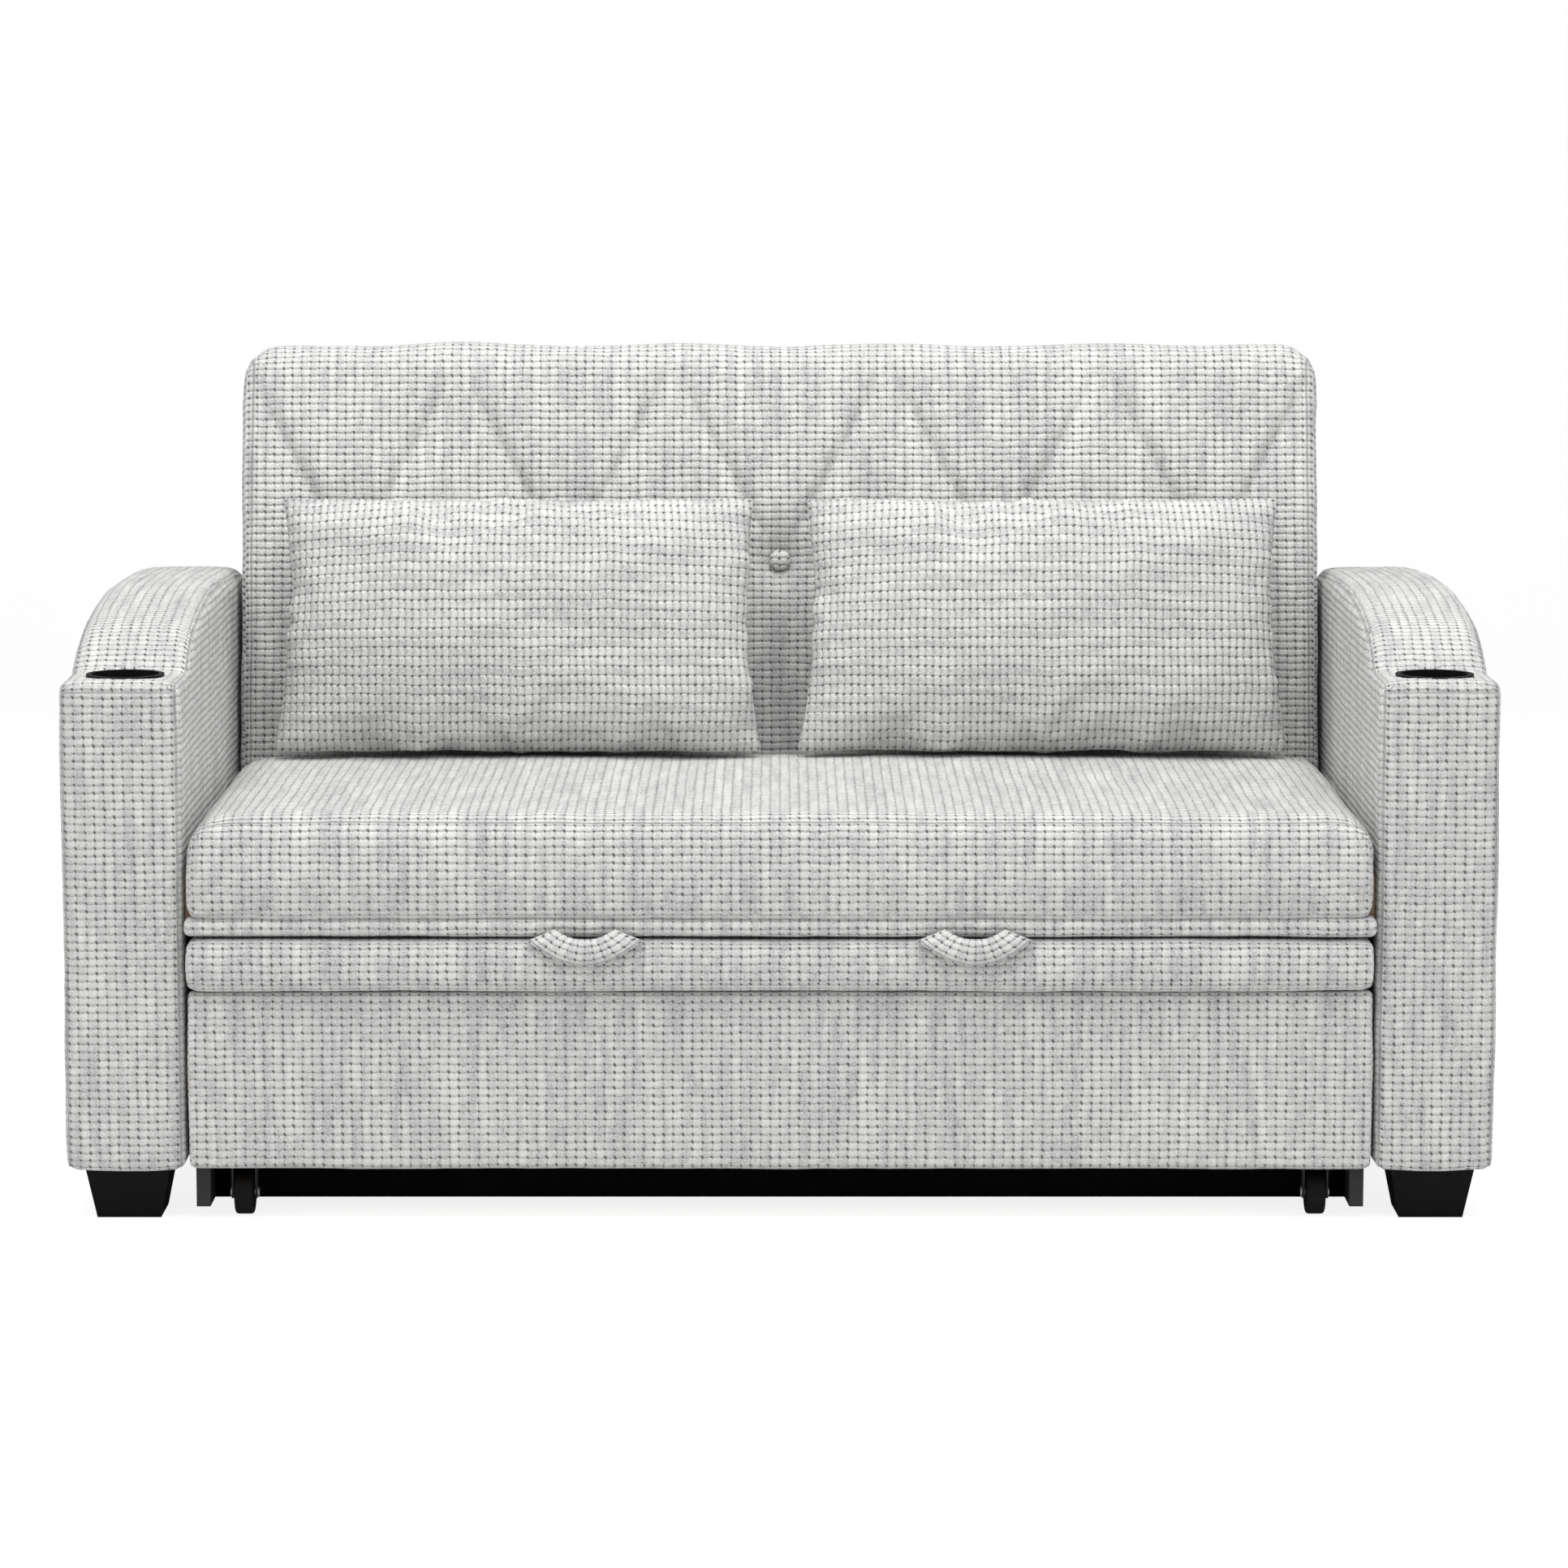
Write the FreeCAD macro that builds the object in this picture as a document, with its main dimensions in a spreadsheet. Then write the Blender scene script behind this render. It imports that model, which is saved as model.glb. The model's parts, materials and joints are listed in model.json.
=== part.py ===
import FreeCAD, Part
import math
import os
import re
import Sketcher
from FreeCAD import Placement, Rotation, Vector

# Sleeper sofa: two arms carry a seat, a click-clack backrest and a wheeled pull out bed.
# X runs to the sitter's left, Y to the rear, Z up, and the sofa stands on Z = 0.
# Depths are measured from the front of the arms, which lies front_to_origin ahead of the origin.

SIZES = {
    # whole sofa
    "sofa_width": 1650,
    "front_to_origin": 406,
    "fit_gap": 0.3,
    "running_fit": 0.05,
    # arms
    "arm_width": 140,
    "arm_depth": 800,
    "shelf_height": 628,
    "shelf_length": 118,
    "hump_bend_depth": 205,
    "hump_bend_rise": 48,
    "hump_crest_depth": 450,
    "hump_crest_rise": 73,
    "hump_rear_rise": 61,
    "hump_nose_radius": 168,
    "hump_crown_radius": 1213,
    "hump_tail_radius": 5110,
    "arm_rear_round": 30,
    "arm_edge_round": 16,
    "arm_padding": 12,
    "arm_board": 12,
    # cup holders
    "cup_bore_radius": 39,
    "cup_depth": 62,
    "cup_wall": 2,
    "cup_flange_radius": 45,
    "cup_flange": 2,
    "cup_setback": 72,
    # feet
    "leg_height": 60,
    "leg_top": 97,
    "leg_foot": 74,
    "leg_setback": 65,
    "leg_bolt_radius": 4,
    "leg_bolt_length": 34,
    # seat frame
    "deck_bottom": 334,
    "deck_rail": 17,
    "deck_rail_depth": 40,
    "deck_rail_set": 10,
    "seat_beam": 24,
    "seat_rail": 20,
    "seat_frame_top": 398,
    "strap_thickness": 2,
    "strap_width": 60,
    "frame_bolt_radius": 4,
    "frame_bolt_height": 366,
    "frame_bolt_first": 150,
    "frame_bolt_last": 450,
    "bolt_head_radius": 9,
    "bolt_head": 4,
    # seat cushion
    "seat_top": 477,
    "seat_crown": 5,
    "seat_front_set": 15,
    "seat_front_bulge": 4,
    "seat_front_round": 28,
    "seat_side_round": 40,
    "seat_side_gap": 3,
    "seat_back_gap": 1,
    "frame_set": 5,
    "seat_lip": 18,
    # backrest, measured from its hinge axis along its own lean
    "hinge_setback": 640.5,
    "back_lean": 12,
    "back_front": 50,
    "back_rear": 95,
    "back_length": 560,
    "back_side_gap": 4,
    "back_corner": 50,
    "back_side_round": 24,
    "back_top_round": 36,
    "back_rear_round": 14,
    "back_crown": 6,
    "back_top_border": 36,
    "back_sole": 8,
    "back_cover": 5,
    "notch_width": 32,
    "notch_top": 30,
    "stile_width": 22,
    "stile_front": 30,
    "stile_depth": 58,
    "back_rail_height": 30,
    "back_rail_depth": 32,
    "back_middle_rail": 230,
    # tufting
    "button_side_set": 139,
    "button_height": 280,
    "button_radius": 14,
    "button_dome": 6,
    "button_shank": 2,
    "tuft_depth": 20,
    "tuft_radius": 62,
    "pleat_radius": 12,
    "pleat_depth": 4,
    "pleat_top": 512,
    "crease_bottom": 70,
    # click-clack hinges
    "hinge_plate": 4,
    "hinge_eye_radius": 22,
    "hinge_pin_radius": 6,
    "pin_head_radius": 11,
    "pin_head": 3,
    "bracket_front": 500,
    "bracket_bottom": 354,
    "hinge_arm_top": 200,
    "hinge_arm_width": 36,
    "ratchet_radius": 19,
    "ratchet_width": 5,
    "ratchet_tooth": 2.5,
    "detent_thickness": 1.5,
    "detent_reach": 8,
    # pull out bed
    "trolley_side": 16,
    "trolley_side_inset": 9,
    "trolley_rear_gap": 50,
    "trolley_bottom": 14,
    "trolley_top": 256,
    "front_panel_bottom": 62,
    "front_panel_top": 268,
    "front_panel_proud": 3,
    "front_panel_padding": 12,
    "front_panel_round": 9,
    "front_panel_gap": 3,
    "front_board": 13,
    "base_board": 15,
    "base_board_depth": 66,
    "kick_board": 12,
    "rear_board": 16,
    "glide_gap": 0.3,
    "glide_front": 60,
    "glide_length": 60,
    "glide_height": 30,
    "glide_bottom": 90,
    "glide_rear_set": 20,
    "stop_setback": 25,
    "stop_depth": 14.7,
    "stop_bottom": 150,
    "stop_width": 7.5,
    # platform
    "platform_board": 15,
    "platform_depth": 575,
    "platform_set": 17,
    "platform_top": 332,
    "platform_crown": 1.5,
    "platform_round": 8,
    "platform_side_gap": 2,
    # pull loops
    "loop_offset": 223,
    "loop_span": 118,
    "loop_strap": 2.5,
    "loop_bow": 18,
    "loop_corner_height": 346,
    "loop_corner_drop": 24,
    "loop_sag": 9,
    "loop_width": 32,
    # pop-up lift, folded
    "link_length": 190,
    "link_width": 22,
    "link_thickness": 4.7,
    "link_front": 115,
    "link_rear": 330,
    "link_height": 216,
    "link_rise": 20,
    "lift_plate": 5,
    "lift_plate_length": 50,
    "lift_pin_radius": 4,
    "strut_height": 168,
    "strut_radius": 9,
    "strut_rod_radius": 4,
    "strut_tube_length": 180,
    "strut_rod_length": 120,
    "strut_front": 200,
    "strut_lug": 16,
    # casters
    "wheel_radius": 26,
    "wheel_width": 22,
    "wheel_round": 4,
    "wheel_floor_gap": 0.5,
    "axle_radius": 4,
    "axle_head_radius": 6,
    "axle_head": 1.5,
    "fork_plate": 2.5,
    "fork_side_gap": 1.5,
    "fork_depth": 22,
    "fork_foot_depth": 36,
    "caster_inset": 54,
    "caster_setback": 48,
    # rear panel
    "rear_panel_bottom": 62,
    "rear_panel_top": 322,
    "rear_panel_padding": 14,
    "rear_panel_board": 16,
    # pillows
    "pillow_middle_gap": 31,
    "pillow_side_gap": 60,
    "pillow_height": 320,
    "pillow_thickness": 126,
    "pillow_edge": 5,
    "pillow_end": 7,
    "pillow_waist": 9,
    "pillow_base": 28.5,
}

# places worked out from the sizes
ARM_INNER = "(sofa_width / 2 - arm_width)"
ARM_CENTRE = "(sofa_width / 2 - arm_width / 2)"
HUMP_BEND = "(shelf_height + hump_bend_rise)"
HUMP_CREST = "(shelf_height + hump_crest_rise)"
HUMP_REAR = "(shelf_height + hump_rear_rise)"
SEAT_HALF = f"({ARM_INNER} - seat_side_gap)"
SEAT_REAR = "(hinge_setback - back_front - seat_back_gap)"
FRAME_REAR = f"({SEAT_REAR} - frame_set)"
BEAM_HALF = f"({ARM_INNER} - seat_rail - hinge_plate)"
DECK_TOP = "(deck_bottom + deck_rail)"
HINGE_HEIGHT = "(seat_top - back_front)"
BRACKET_OUTER = f"({ARM_INNER} - seat_rail)"
BRACKET_INNER = f"({BRACKET_OUTER} - hinge_plate)"
HINGE_ARM_OUTER = f"({BRACKET_INNER} - fit_gap)"
HINGE_ARM_INNER = f"({HINGE_ARM_OUTER} - hinge_plate)"
STILE_INNER = f"({HINGE_ARM_INNER} - stile_width)"
BACK_HALF = f"({ARM_INNER} - back_side_gap)"
BACK_CAVITY = f"({HINGE_ARM_OUTER} + fit_gap)"
BUTTON_PITCH = f"(({BACK_HALF} - button_side_set) / 2)"
PILLOW_LENGTH = f"({BACK_HALF} - pillow_side_gap - pillow_middle_gap)"
PILLOW_CENTRE = f"(pillow_middle_gap + {PILLOW_LENGTH} / 2)"
STILE_TOP = "(back_length - back_top_border - fit_gap)"
STILE_BOTTOM = "(-back_front + back_sole + fit_gap)"
PANEL_HALF = f"({ARM_INNER} - front_panel_gap)"
REAR_BOARD_FRONT = "(arm_depth - rear_panel_padding - rear_panel_board)"
TROLLEY_REAR = f"({REAR_BOARD_FRONT} - trolley_rear_gap)"
TROLLEY_OUTER = f"({ARM_INNER} - trolley_side_inset)"
TROLLEY_INNER = f"({TROLLEY_OUTER} - trolley_side)"
BOARD_REAR = "(-front_panel_proud + front_panel_padding + front_board)"
BASE_BOARD_TOP = "(front_panel_bottom + base_board)"
PLATFORM_HALF = f"({ARM_INNER} - platform_side_gap)"
PLATFORM_BOTTOM = "(trolley_top + platform_board)"
AXLE_HEIGHT = "(wheel_floor_gap + wheel_radius)"
CASTER_OFFSET = f"({TROLLEY_OUTER} - caster_inset)"
FORK_HALF = "(wheel_width / 2 + fork_side_gap + fork_plate)"

SIDES = {"left": -1, "right": 1}

doc = FreeCAD.newDocument("sleeper_sofa")
sheet = doc.addObject("Spreadsheet::Sheet", "Sizes")
for row, (alias, number) in enumerate(SIZES.items(), 1):
    sheet.set(f"A{row}", alias)
    sheet.set(f"B{row}", str(number))
    sheet.setAlias(f"B{row}", alias)
doc.recompute()

nodes = []


def linked(text):
    """A formula of size names, written with the sheet's name before each of them."""
    return re.sub(r"[a-z_]+", lambda word: f"Sizes.{word[0]}" if word[0] in SIZES else word[0], str(text))


def size(text):
    """The present value of a formula of size names."""
    return float(sheet.evalExpression(str(text)))


def bind(thing, **formulas):
    for name, text in formulas.items():
        thing.setExpression(name, linked(text))


def place(thing, x="0", y="0", z="0"):
    """Set a piece's place; y counts back from the front of the arms."""
    thing.setExpression("Placement.Base.x", linked(x))
    thing.setExpression("Placement.Base.y", linked(f"{y} - front_to_origin"))
    thing.setExpression("Placement.Base.z", linked(z))


def lean(thing, x="0"):
    """Carry a piece drawn about the hinge axis to the backrest's place and lean."""
    thing.Placement = Placement(Vector(), Rotation(Vector(1, 0, 0), -1))
    thing.setExpression("Placement.Rotation.Angle", linked("-back_lean"))
    place(thing, x, "hinge_setback", HINGE_HEIGHT)


def node(thing, name, leaning=False):
    """Register a finished sub-part under its own name."""
    if leaning:
        lean(thing)
    thing.Label = name
    nodes.append(thing)
    return thing


def mirrored(pair, side):
    """The two x limits of a piece drawn for the right side, on the side asked for."""
    low, high = pair
    return (low, high) if side > 0 else (f"-({high})", f"-({low})")


def box(x, y, z, local=False):
    """A rectangular block between two formulas on each axis."""
    block = doc.addObject("Part::Box", "block")
    bind(
        block,
        Length=f"({x[1]}) - ({x[0]})",
        Width=f"({y[1]}) - ({y[0]})",
        Height=f"({z[1]}) - ({z[0]})",
    )
    place(block, x[0], f"{y[0]} + front_to_origin" if local else y[0], z[0])
    return block


def rod(radius, x, y, z, local=False):
    """A round bar along X between two formulas."""
    bar = doc.addObject("Part::Cylinder", "bar")
    bar.Placement = Placement(Vector(), Rotation(Vector(0, 1, 0), 90))
    bind(bar, Radius=radius, Height=f"({x[1]}) - ({x[0]})")
    place(bar, x[0], f"{y} + front_to_origin" if local else y, z)
    return bar


def group(pieces):
    """Several separate solids that make one node."""
    bundle = doc.addObject("Part::Compound", "bundle")
    bundle.Links = pieces
    return bundle


def fused(pieces):
    joined = doc.addObject("Part::MultiFuse", "joined")
    joined.Shapes = pieces
    return joined


def cut(piece, tools):
    """A piece with holes or pockets taken out of it."""
    result = doc.addObject("Part::Cut", "cut")
    result.Base = piece
    result.Tool = tools[0] if len(tools) == 1 else fused(tools)
    return result


def feature(shape, name, leaning=False):
    """A sub-part whose form is drawn from lines and arcs directly."""
    thing = doc.addObject("Part::Feature", name)
    thing.Shape = shape
    return node(thing, name, leaning)


# profiles drawn as sketches


def arc_centre(start, end, radius, turn):
    """Centre of the short arc from start to end, which turns left for turn = 1."""
    chord = end - start
    height = math.sqrt(radius**2 - (chord.Length / 2) ** 2)
    left = Vector(-chord.y, chord.x, 0) / chord.Length
    return (start + end) / 2 + left * height * turn


def outline(sketch, corners):
    """Draw a closed outline; a corner (x, y, radius, turn) starts an arc, (x, y) a straight line."""
    first = sketch.GeometryCount
    points = [Vector(size(c[0]), size(c[1]), 0) for c in corners]
    starts = []
    ends = []
    for index, corner in enumerate(corners):
        start, end = points[index], points[(index + 1) % len(points)]
        if len(corner) == 2:
            sketch.addGeometry(Part.LineSegment(start, end), False)
            starts.append(1)
            ends.append(2)
            continue
        radius, turn = size(corner[2]), corner[3]
        centre = arc_centre(start, end, radius, turn)
        low, high = (start, end) if turn > 0 else (end, start)
        low_angle = math.atan2(low.y - centre.y, low.x - centre.x)
        high_angle = math.atan2(high.y - centre.y, high.x - centre.x)
        circle = Part.Circle(centre, Vector(0, 0, 1), radius)
        sketch.addGeometry(Part.ArcOfCircle(circle, low_angle, high_angle), False)
        starts.append(1 if turn > 0 else 2)
        ends.append(2 if turn > 0 else 1)
    for index, corner in enumerate(corners):
        edge = first + index
        before = (index - 1) % len(corners)
        sketch.addConstraint(
            Sketcher.Constraint("Coincident", first + before, ends[before], edge, starts[index])
        )
        for kind, text in (("DistanceX", corner[0]), ("DistanceY", corner[1])):
            at = sketch.addConstraint(Sketcher.Constraint(kind, edge, starts[index], size(text)))
            sketch.setExpression(f"Constraints[{at}]", linked(text))
        if len(corner) > 2:
            at = sketch.addConstraint(Sketcher.Constraint("Radius", edge, size(corner[2])))
            sketch.setExpression(f"Constraints[{at}]", linked(corner[2]))


def ring(sketch, x, y, radius):
    """Draw a full circle."""
    edge = sketch.addGeometry(
        Part.Circle(Vector(size(x), size(y), 0), Vector(0, 0, 1), size(radius)), False
    )
    for kind, text in (("DistanceX", x), ("DistanceY", y)):
        at = sketch.addConstraint(Sketcher.Constraint(kind, edge, 3, size(text)))
        sketch.setExpression(f"Constraints[{at}]", linked(text))
    at = sketch.addConstraint(Sketcher.Constraint("Radius", edge, size(radius)))
    sketch.setExpression(f"Constraints[{at}]", linked(radius))


def sketched(body, plane):
    """An empty sketch on one of the body's own origin planes."""
    sketch = body.newObject("Sketcher::SketchObject", "sketch")
    origin = [f for f in body.Origin.OriginFeatures if f.Role == plane][0]
    sketch.AttachmentSupport = [(origin, "")]
    sketch.MapMode = "FlatFace"
    return sketch


def pad(body, sketch, length, symmetric=False, reverse=False):
    block = body.newObject("PartDesign::Pad", "pad")
    block.Profile = sketch
    block.SideType = "Symmetric" if symmetric else "One side"
    block.Reversed = reverse
    bind(block, Length=length)
    return block


def pocket(body, sketch, length, symmetric=False, reverse=False):
    hollow = body.newObject("PartDesign::Pocket", "pocket")
    hollow.Profile = sketch
    hollow.SideType = "Symmetric" if symmetric else "One side"
    hollow.Reversed = reverse
    bind(hollow, Length=length)
    return hollow


def rounded(body, base, radius, wanted):
    """Round the edges of a feature for which wanted(edge) holds."""
    doc.recompute()
    names = [f"Edge{i}" for i, edge in enumerate(base.Shape.Edges, 1) if wanted(edge)]
    rounding = body.newObject("PartDesign::Fillet", "rounding")
    rounding.Base = (base, names)
    bind(rounding, Radius=radius)
    return rounding


def spans_x(edge):
    """Does an edge run straight along X?"""
    return edge.BoundBox.YLength < 0.01 and edge.BoundBox.ZLength < 0.01


# arms

# how far the hump's bend and the foot of its nose move for each millimetre of inset
BEND_BACK, BEND_DOWN = 0.2, 0.98
NOSE_BACK = 0.42


def arm_profile(inset, floor):
    """Side outline of an arm, drawn in by an inset: shelf, concave bend, hump and rear."""
    return [
        (f"{inset}", floor),
        (f"arm_depth - {inset}", floor),
        (f"arm_depth - {inset}", f"{HUMP_REAR} - {inset}", f"hump_tail_radius - {inset}", 1),
        ("hump_crest_depth", f"{HUMP_CREST} - {inset}", f"hump_crown_radius - {inset}", 1),
        (
            f"hump_bend_depth + {BEND_BACK} * {inset}",
            f"{HUMP_BEND} - {BEND_DOWN} * {inset}",
            f"hump_nose_radius - {inset}",
            1,
        ),
        (f"shelf_length + {NOSE_BACK} * {inset}", f"shelf_height - {inset}"),
        (f"{inset}", f"shelf_height - {inset}"),
    ]


def bolt_places():
    return [("frame_bolt_first", "frame_bolt_height"), ("frame_bolt_last", "frame_bolt_height")]


def arm_cover(name, side):
    """Foam and fabric over the arm's frame: closed above, open below, with a hole for the cup."""
    body = doc.addObject("PartDesign::Body", name)
    shape = sketched(body, "YZ_Plane")
    outline(shape, arm_profile("0", "leg_height"))
    block = pad(body, shape, "arm_width", symmetric=True)
    rear = rounded(
        body,
        block,
        "arm_rear_round",
        lambda e: spans_x(e) and abs(e.BoundBox.ZMin - size(HUMP_REAR)) < 0.1,
    )
    half = size("arm_width / 2")
    rounded(
        body,
        rear,
        "arm_edge_round",
        lambda e: (e.BoundBox.XLength < 0.01 and abs(abs(e.BoundBox.XMin) - half) < 0.01)
        or (spans_x(e) and abs(e.BoundBox.YMin) < 0.1),
    )
    hollow = sketched(body, "YZ_Plane")
    outline(hollow, arm_profile("arm_padding", "leg_height - 1"))
    pocket(body, hollow, "arm_width - 2 * arm_padding", symmetric=True)
    cup = sketched(body, "XY_Plane")
    ring(cup, "0", "cup_setback", "cup_bore_radius + cup_wall + fit_gap")
    pocket(body, cup, "shelf_height + cup_depth", reverse=True)
    bolts = sketched(body, "YZ_Plane")
    for y, z in bolt_places():
        ring(bolts, y, z, "frame_bolt_radius + fit_gap")
    pocket(body, bolts, "arm_width / 2 + 1", reverse=side < 0)
    place(body, f"{side} * {ARM_CENTRE}")
    return node(body, name)


def arm_panel(side, face):
    """One plywood cheek of an arm; the cheek next to the seat has the frame's bolt holes."""
    body = doc.addObject("PartDesign::Body", "arm_panel")
    shape = sketched(body, "YZ_Plane")
    outline(shape, arm_profile("(arm_padding + fit_gap)", "leg_height"))
    if face < 0:
        for y, z in bolt_places():
            ring(shape, y, z, "frame_bolt_radius + fit_gap")
    pad(body, shape, "arm_board")
    cheek = "arm_width / 2 - arm_padding - arm_board"
    low = f"{ARM_CENTRE} + {cheek}" if face > 0 else f"{ARM_CENTRE} - ({cheek}) - arm_board"
    place(body, mirrored((low, f"{low} + arm_board"), side)[0])
    return body


def arm_frame(name, side):
    """Plywood box inside an arm: two cheeks with boards between them."""
    cheek = "(arm_width / 2 - arm_padding - arm_board)"
    between = mirrored((f"{ARM_CENTRE} - {cheek}", f"{ARM_CENTRE} + {cheek}"), side)
    inset = "(arm_padding + fit_gap)"
    front, rear = inset, f"(arm_depth - {inset})"
    floor = "(leg_height + arm_board)"
    shelf = f"(shelf_height - {inset})"
    shelf_board = cut(
        box(
            between,
            (f"{front} + arm_board", "shelf_length + arm_board"),
            (f"{shelf} - arm_board", shelf),
        ),
        [cup_core(side)],
    )
    boards = [
        box(between, (front, f"{front} + arm_board"), (floor, shelf)),
        box(between, (f"{rear} - arm_board", rear), (floor, f"{HUMP_REAR} - 2 * arm_rear_round")),
        cut(box(between, (front, rear), ("leg_height", floor)), foot_bolt_cores(side)),
        shelf_board,
    ]
    return node(group([arm_panel(side, 1), arm_panel(side, -1)] + boards), name)


def cup_core(side):
    """The room that a cup holder needs in the arm's shelf board."""
    core = doc.addObject("Part::Cylinder", "cup_core")
    bind(core, Radius="cup_bore_radius + cup_wall + fit_gap", Height="3 * cup_depth")
    place(core, f"{side} * {ARM_CENTRE}", "cup_setback", "shelf_height - 2 * cup_depth")
    return core


def cup_holder(name, side):
    """Plastic cup with a flange that lies on the shelf."""
    body = doc.addObject("PartDesign::Body", name)
    shape = sketched(body, "XZ_Plane")
    outer = "cup_bore_radius + cup_wall"
    bottom = "cup_flange - cup_depth"
    outline(
        shape,
        [
            ("0", f"{bottom} - cup_wall"),
            (outer, f"{bottom} - cup_wall"),
            (outer, "0"),
            ("cup_flange_radius", "0"),
            ("cup_flange_radius", "cup_flange"),
            ("cup_bore_radius", "cup_flange"),
            ("cup_bore_radius", bottom),
            ("0", bottom),
        ],
    )
    turned = body.newObject("PartDesign::Revolution", "turned")
    turned.Profile = shape
    turned.ReferenceAxis = (shape, ["V_Axis"])
    turned.Angle = 360
    place(body, f"{side} * {ARM_CENTRE}", "cup_setback", "shelf_height")
    return node(body, name)


# feet

FOOT_PLACES = {"front": "leg_setback", "rear": "(arm_depth - leg_setback)"}


def foot_bolt(side, end, radius, top):
    """A hanger bolt's room or shank, upright in the middle of a foot."""
    bolt = doc.addObject("Part::Cylinder", "foot_bolt")
    bind(bolt, Radius=radius, Height=f"{top} + leg_bolt_length / 2")
    place(bolt, f"{side} * {ARM_CENTRE}", FOOT_PLACES[end], "leg_height - leg_bolt_length / 2")
    return bolt


def foot_bolt_cores(side):
    radius = "leg_bolt_radius + running_fit"
    return [foot_bolt(side, end, radius, "2 * arm_board") for end in FOOT_PLACES]


def foot(name, side, end):
    """Tapered square foot with a blind hole for its bolt."""
    body = doc.addObject("PartDesign::Body", name)
    shape = sketched(body, "XY_Plane")
    half = "leg_foot / 2"
    outline(shape, [(f"-{half}", f"-{half}"), (half, f"-{half}"), (half, half), (f"-{half}", half)])
    block = pad(body, shape, "leg_height")
    bind(block, TaperAngle="atan((leg_top - leg_foot) / 2 / leg_height)")
    hole = sketched(body, "XY_Plane")
    ring(hole, "0", "0", "leg_bolt_radius + running_fit")
    hole.AttachmentOffset = Placement(Vector(0, 0, 1), Rotation())
    hole.setExpression("AttachmentOffset.Base.z", linked("leg_height"))
    pocket(body, hole, "leg_bolt_length / 2")
    place(body, f"{side} * {ARM_CENTRE}", FOOT_PLACES[end])
    return node(body, name)


# seat


def strap_row(count, span):
    """Centres of evenly spaced straps over a span, from its middle."""
    return [f"({span}) * {2 * k + 1 - count} / {count}" for k in range(count)]


def seat_frame():
    """Rails, beams and webbing that carry the seat cushion between the arms."""
    rail_front = "(deck_rail_depth - deck_rail_set)"
    deck_half = f"({ARM_INNER} - platform_side_gap)"
    node(
        box(
            (f"-{deck_half}", deck_half),
            ("-deck_rail_set", rail_front),
            ("deck_bottom", DECK_TOP),
        ),
        "seat_front_rail",
    )
    front_beam = box(
        (f"-{BEAM_HALF}", BEAM_HALF),
        (f"{rail_front} - seat_beam", rail_front),
        (DECK_TOP, "seat_frame_top"),
    )
    rear_beam = box(
        (f"-{BEAM_HALF}", BEAM_HALF),
        (f"{FRAME_REAR} - seat_beam", FRAME_REAR),
        ("deck_bottom", "seat_frame_top"),
    )
    node(group([front_beam, rear_beam]), "seat_beams")
    for word, side in SIDES.items():
        rail_x = (f"{ARM_INNER} - seat_rail", ARM_INNER)
        rail = box(mirrored(rail_x, side), (rail_front, FRAME_REAR), ("deck_bottom", "seat_frame_top"))
        bores = [
            rod("frame_bolt_radius + fit_gap", mirrored(rail_x, side), y, z) for y, z in bolt_places()
        ]
        node(cut(rail, bores), f"{word}_seat_rail")
    stretchers = [
        box(
            (f"{place_x} - seat_beam / 2", f"{place_x} + seat_beam / 2"),
            (rail_front, f"{FRAME_REAR} - seat_beam"),
            ("seat_frame_top - seat_beam", "seat_frame_top"),
        )
        for place_x in strap_row(3, BEAM_HALF)
    ]
    node(group(stretchers), "seat_stretchers")
    long_straps = [
        box(
            (f"{place_x} - strap_width / 2", f"{place_x} + strap_width / 2"),
            (f"{rail_front} - seat_beam", FRAME_REAR),
            ("seat_frame_top", "seat_frame_top + strap_thickness"),
        )
        for place_x in strap_row(9, BEAM_HALF)
    ]
    middle = f"({rail_front} + {FRAME_REAR}) / 2"
    cross_straps = [
        box(
            (f"-{BEAM_HALF}", BEAM_HALF),
            (f"{middle} + {shift} - strap_width / 2", f"{middle} + {shift} + strap_width / 2"),
            ("seat_frame_top + strap_thickness", "seat_frame_top + 2 * strap_thickness"),
        )
        for shift in strap_row(4, f"({FRAME_REAR} - {rail_front}) / 2")
    ]
    node(group(long_straps + cross_straps), "seat_webbing")


def frame_bolts():
    """Bolts from inside the seat rails, through the arm's padding, into its inner cheek."""
    bolts = []
    for side in SIDES.values():
        head = (f"{ARM_INNER} - seat_rail - bolt_head", f"{ARM_INNER} - seat_rail")
        shank = (f"{ARM_INNER} - seat_rail", f"{ARM_INNER} + arm_padding + arm_board")
        for y, z in bolt_places():
            bolts.append(
                fused(
                    [
                        rod("bolt_head_radius", mirrored(head, side), y, z),
                        rod("frame_bolt_radius", mirrored(shank, side), y, z),
                    ]
                )
            )
    return node(group(bolts), "frame_bolts")


# soft forms, drawn from lines and arcs


def bulged(points, bulges, normal):
    """A face whose sides run through points; each bulge is how far a side's middle swells out.

    points go round counter-clockwise as seen against normal.
    """
    edges = []
    for index, start in enumerate(points):
        end = points[(index + 1) % len(points)]
        if abs(bulges[index]) < 0.01:
            edges.append(Part.makeLine(start, end))
            continue
        out = (end - start).cross(normal).normalize()
        middle = (start + end) / 2 + out * bulges[index]
        edges.append(Part.Arc(start, middle, end).toShape())
    return Part.Face(Part.Wire(edges))


def corner_bulge(radius):
    """How far a quarter round stands out from its chord."""
    return radius * (1 - math.sqrt(0.5))


def side_section(corners, bulges, half_width):
    """Extrude a section drawn in depth and height across the sofa."""
    points = [Vector(-half_width, y, z) for y, z in corners]
    return bulged(points, bulges, Vector(1, 0, 0)).extrude(Vector(2 * half_width, 0, 0))


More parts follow.
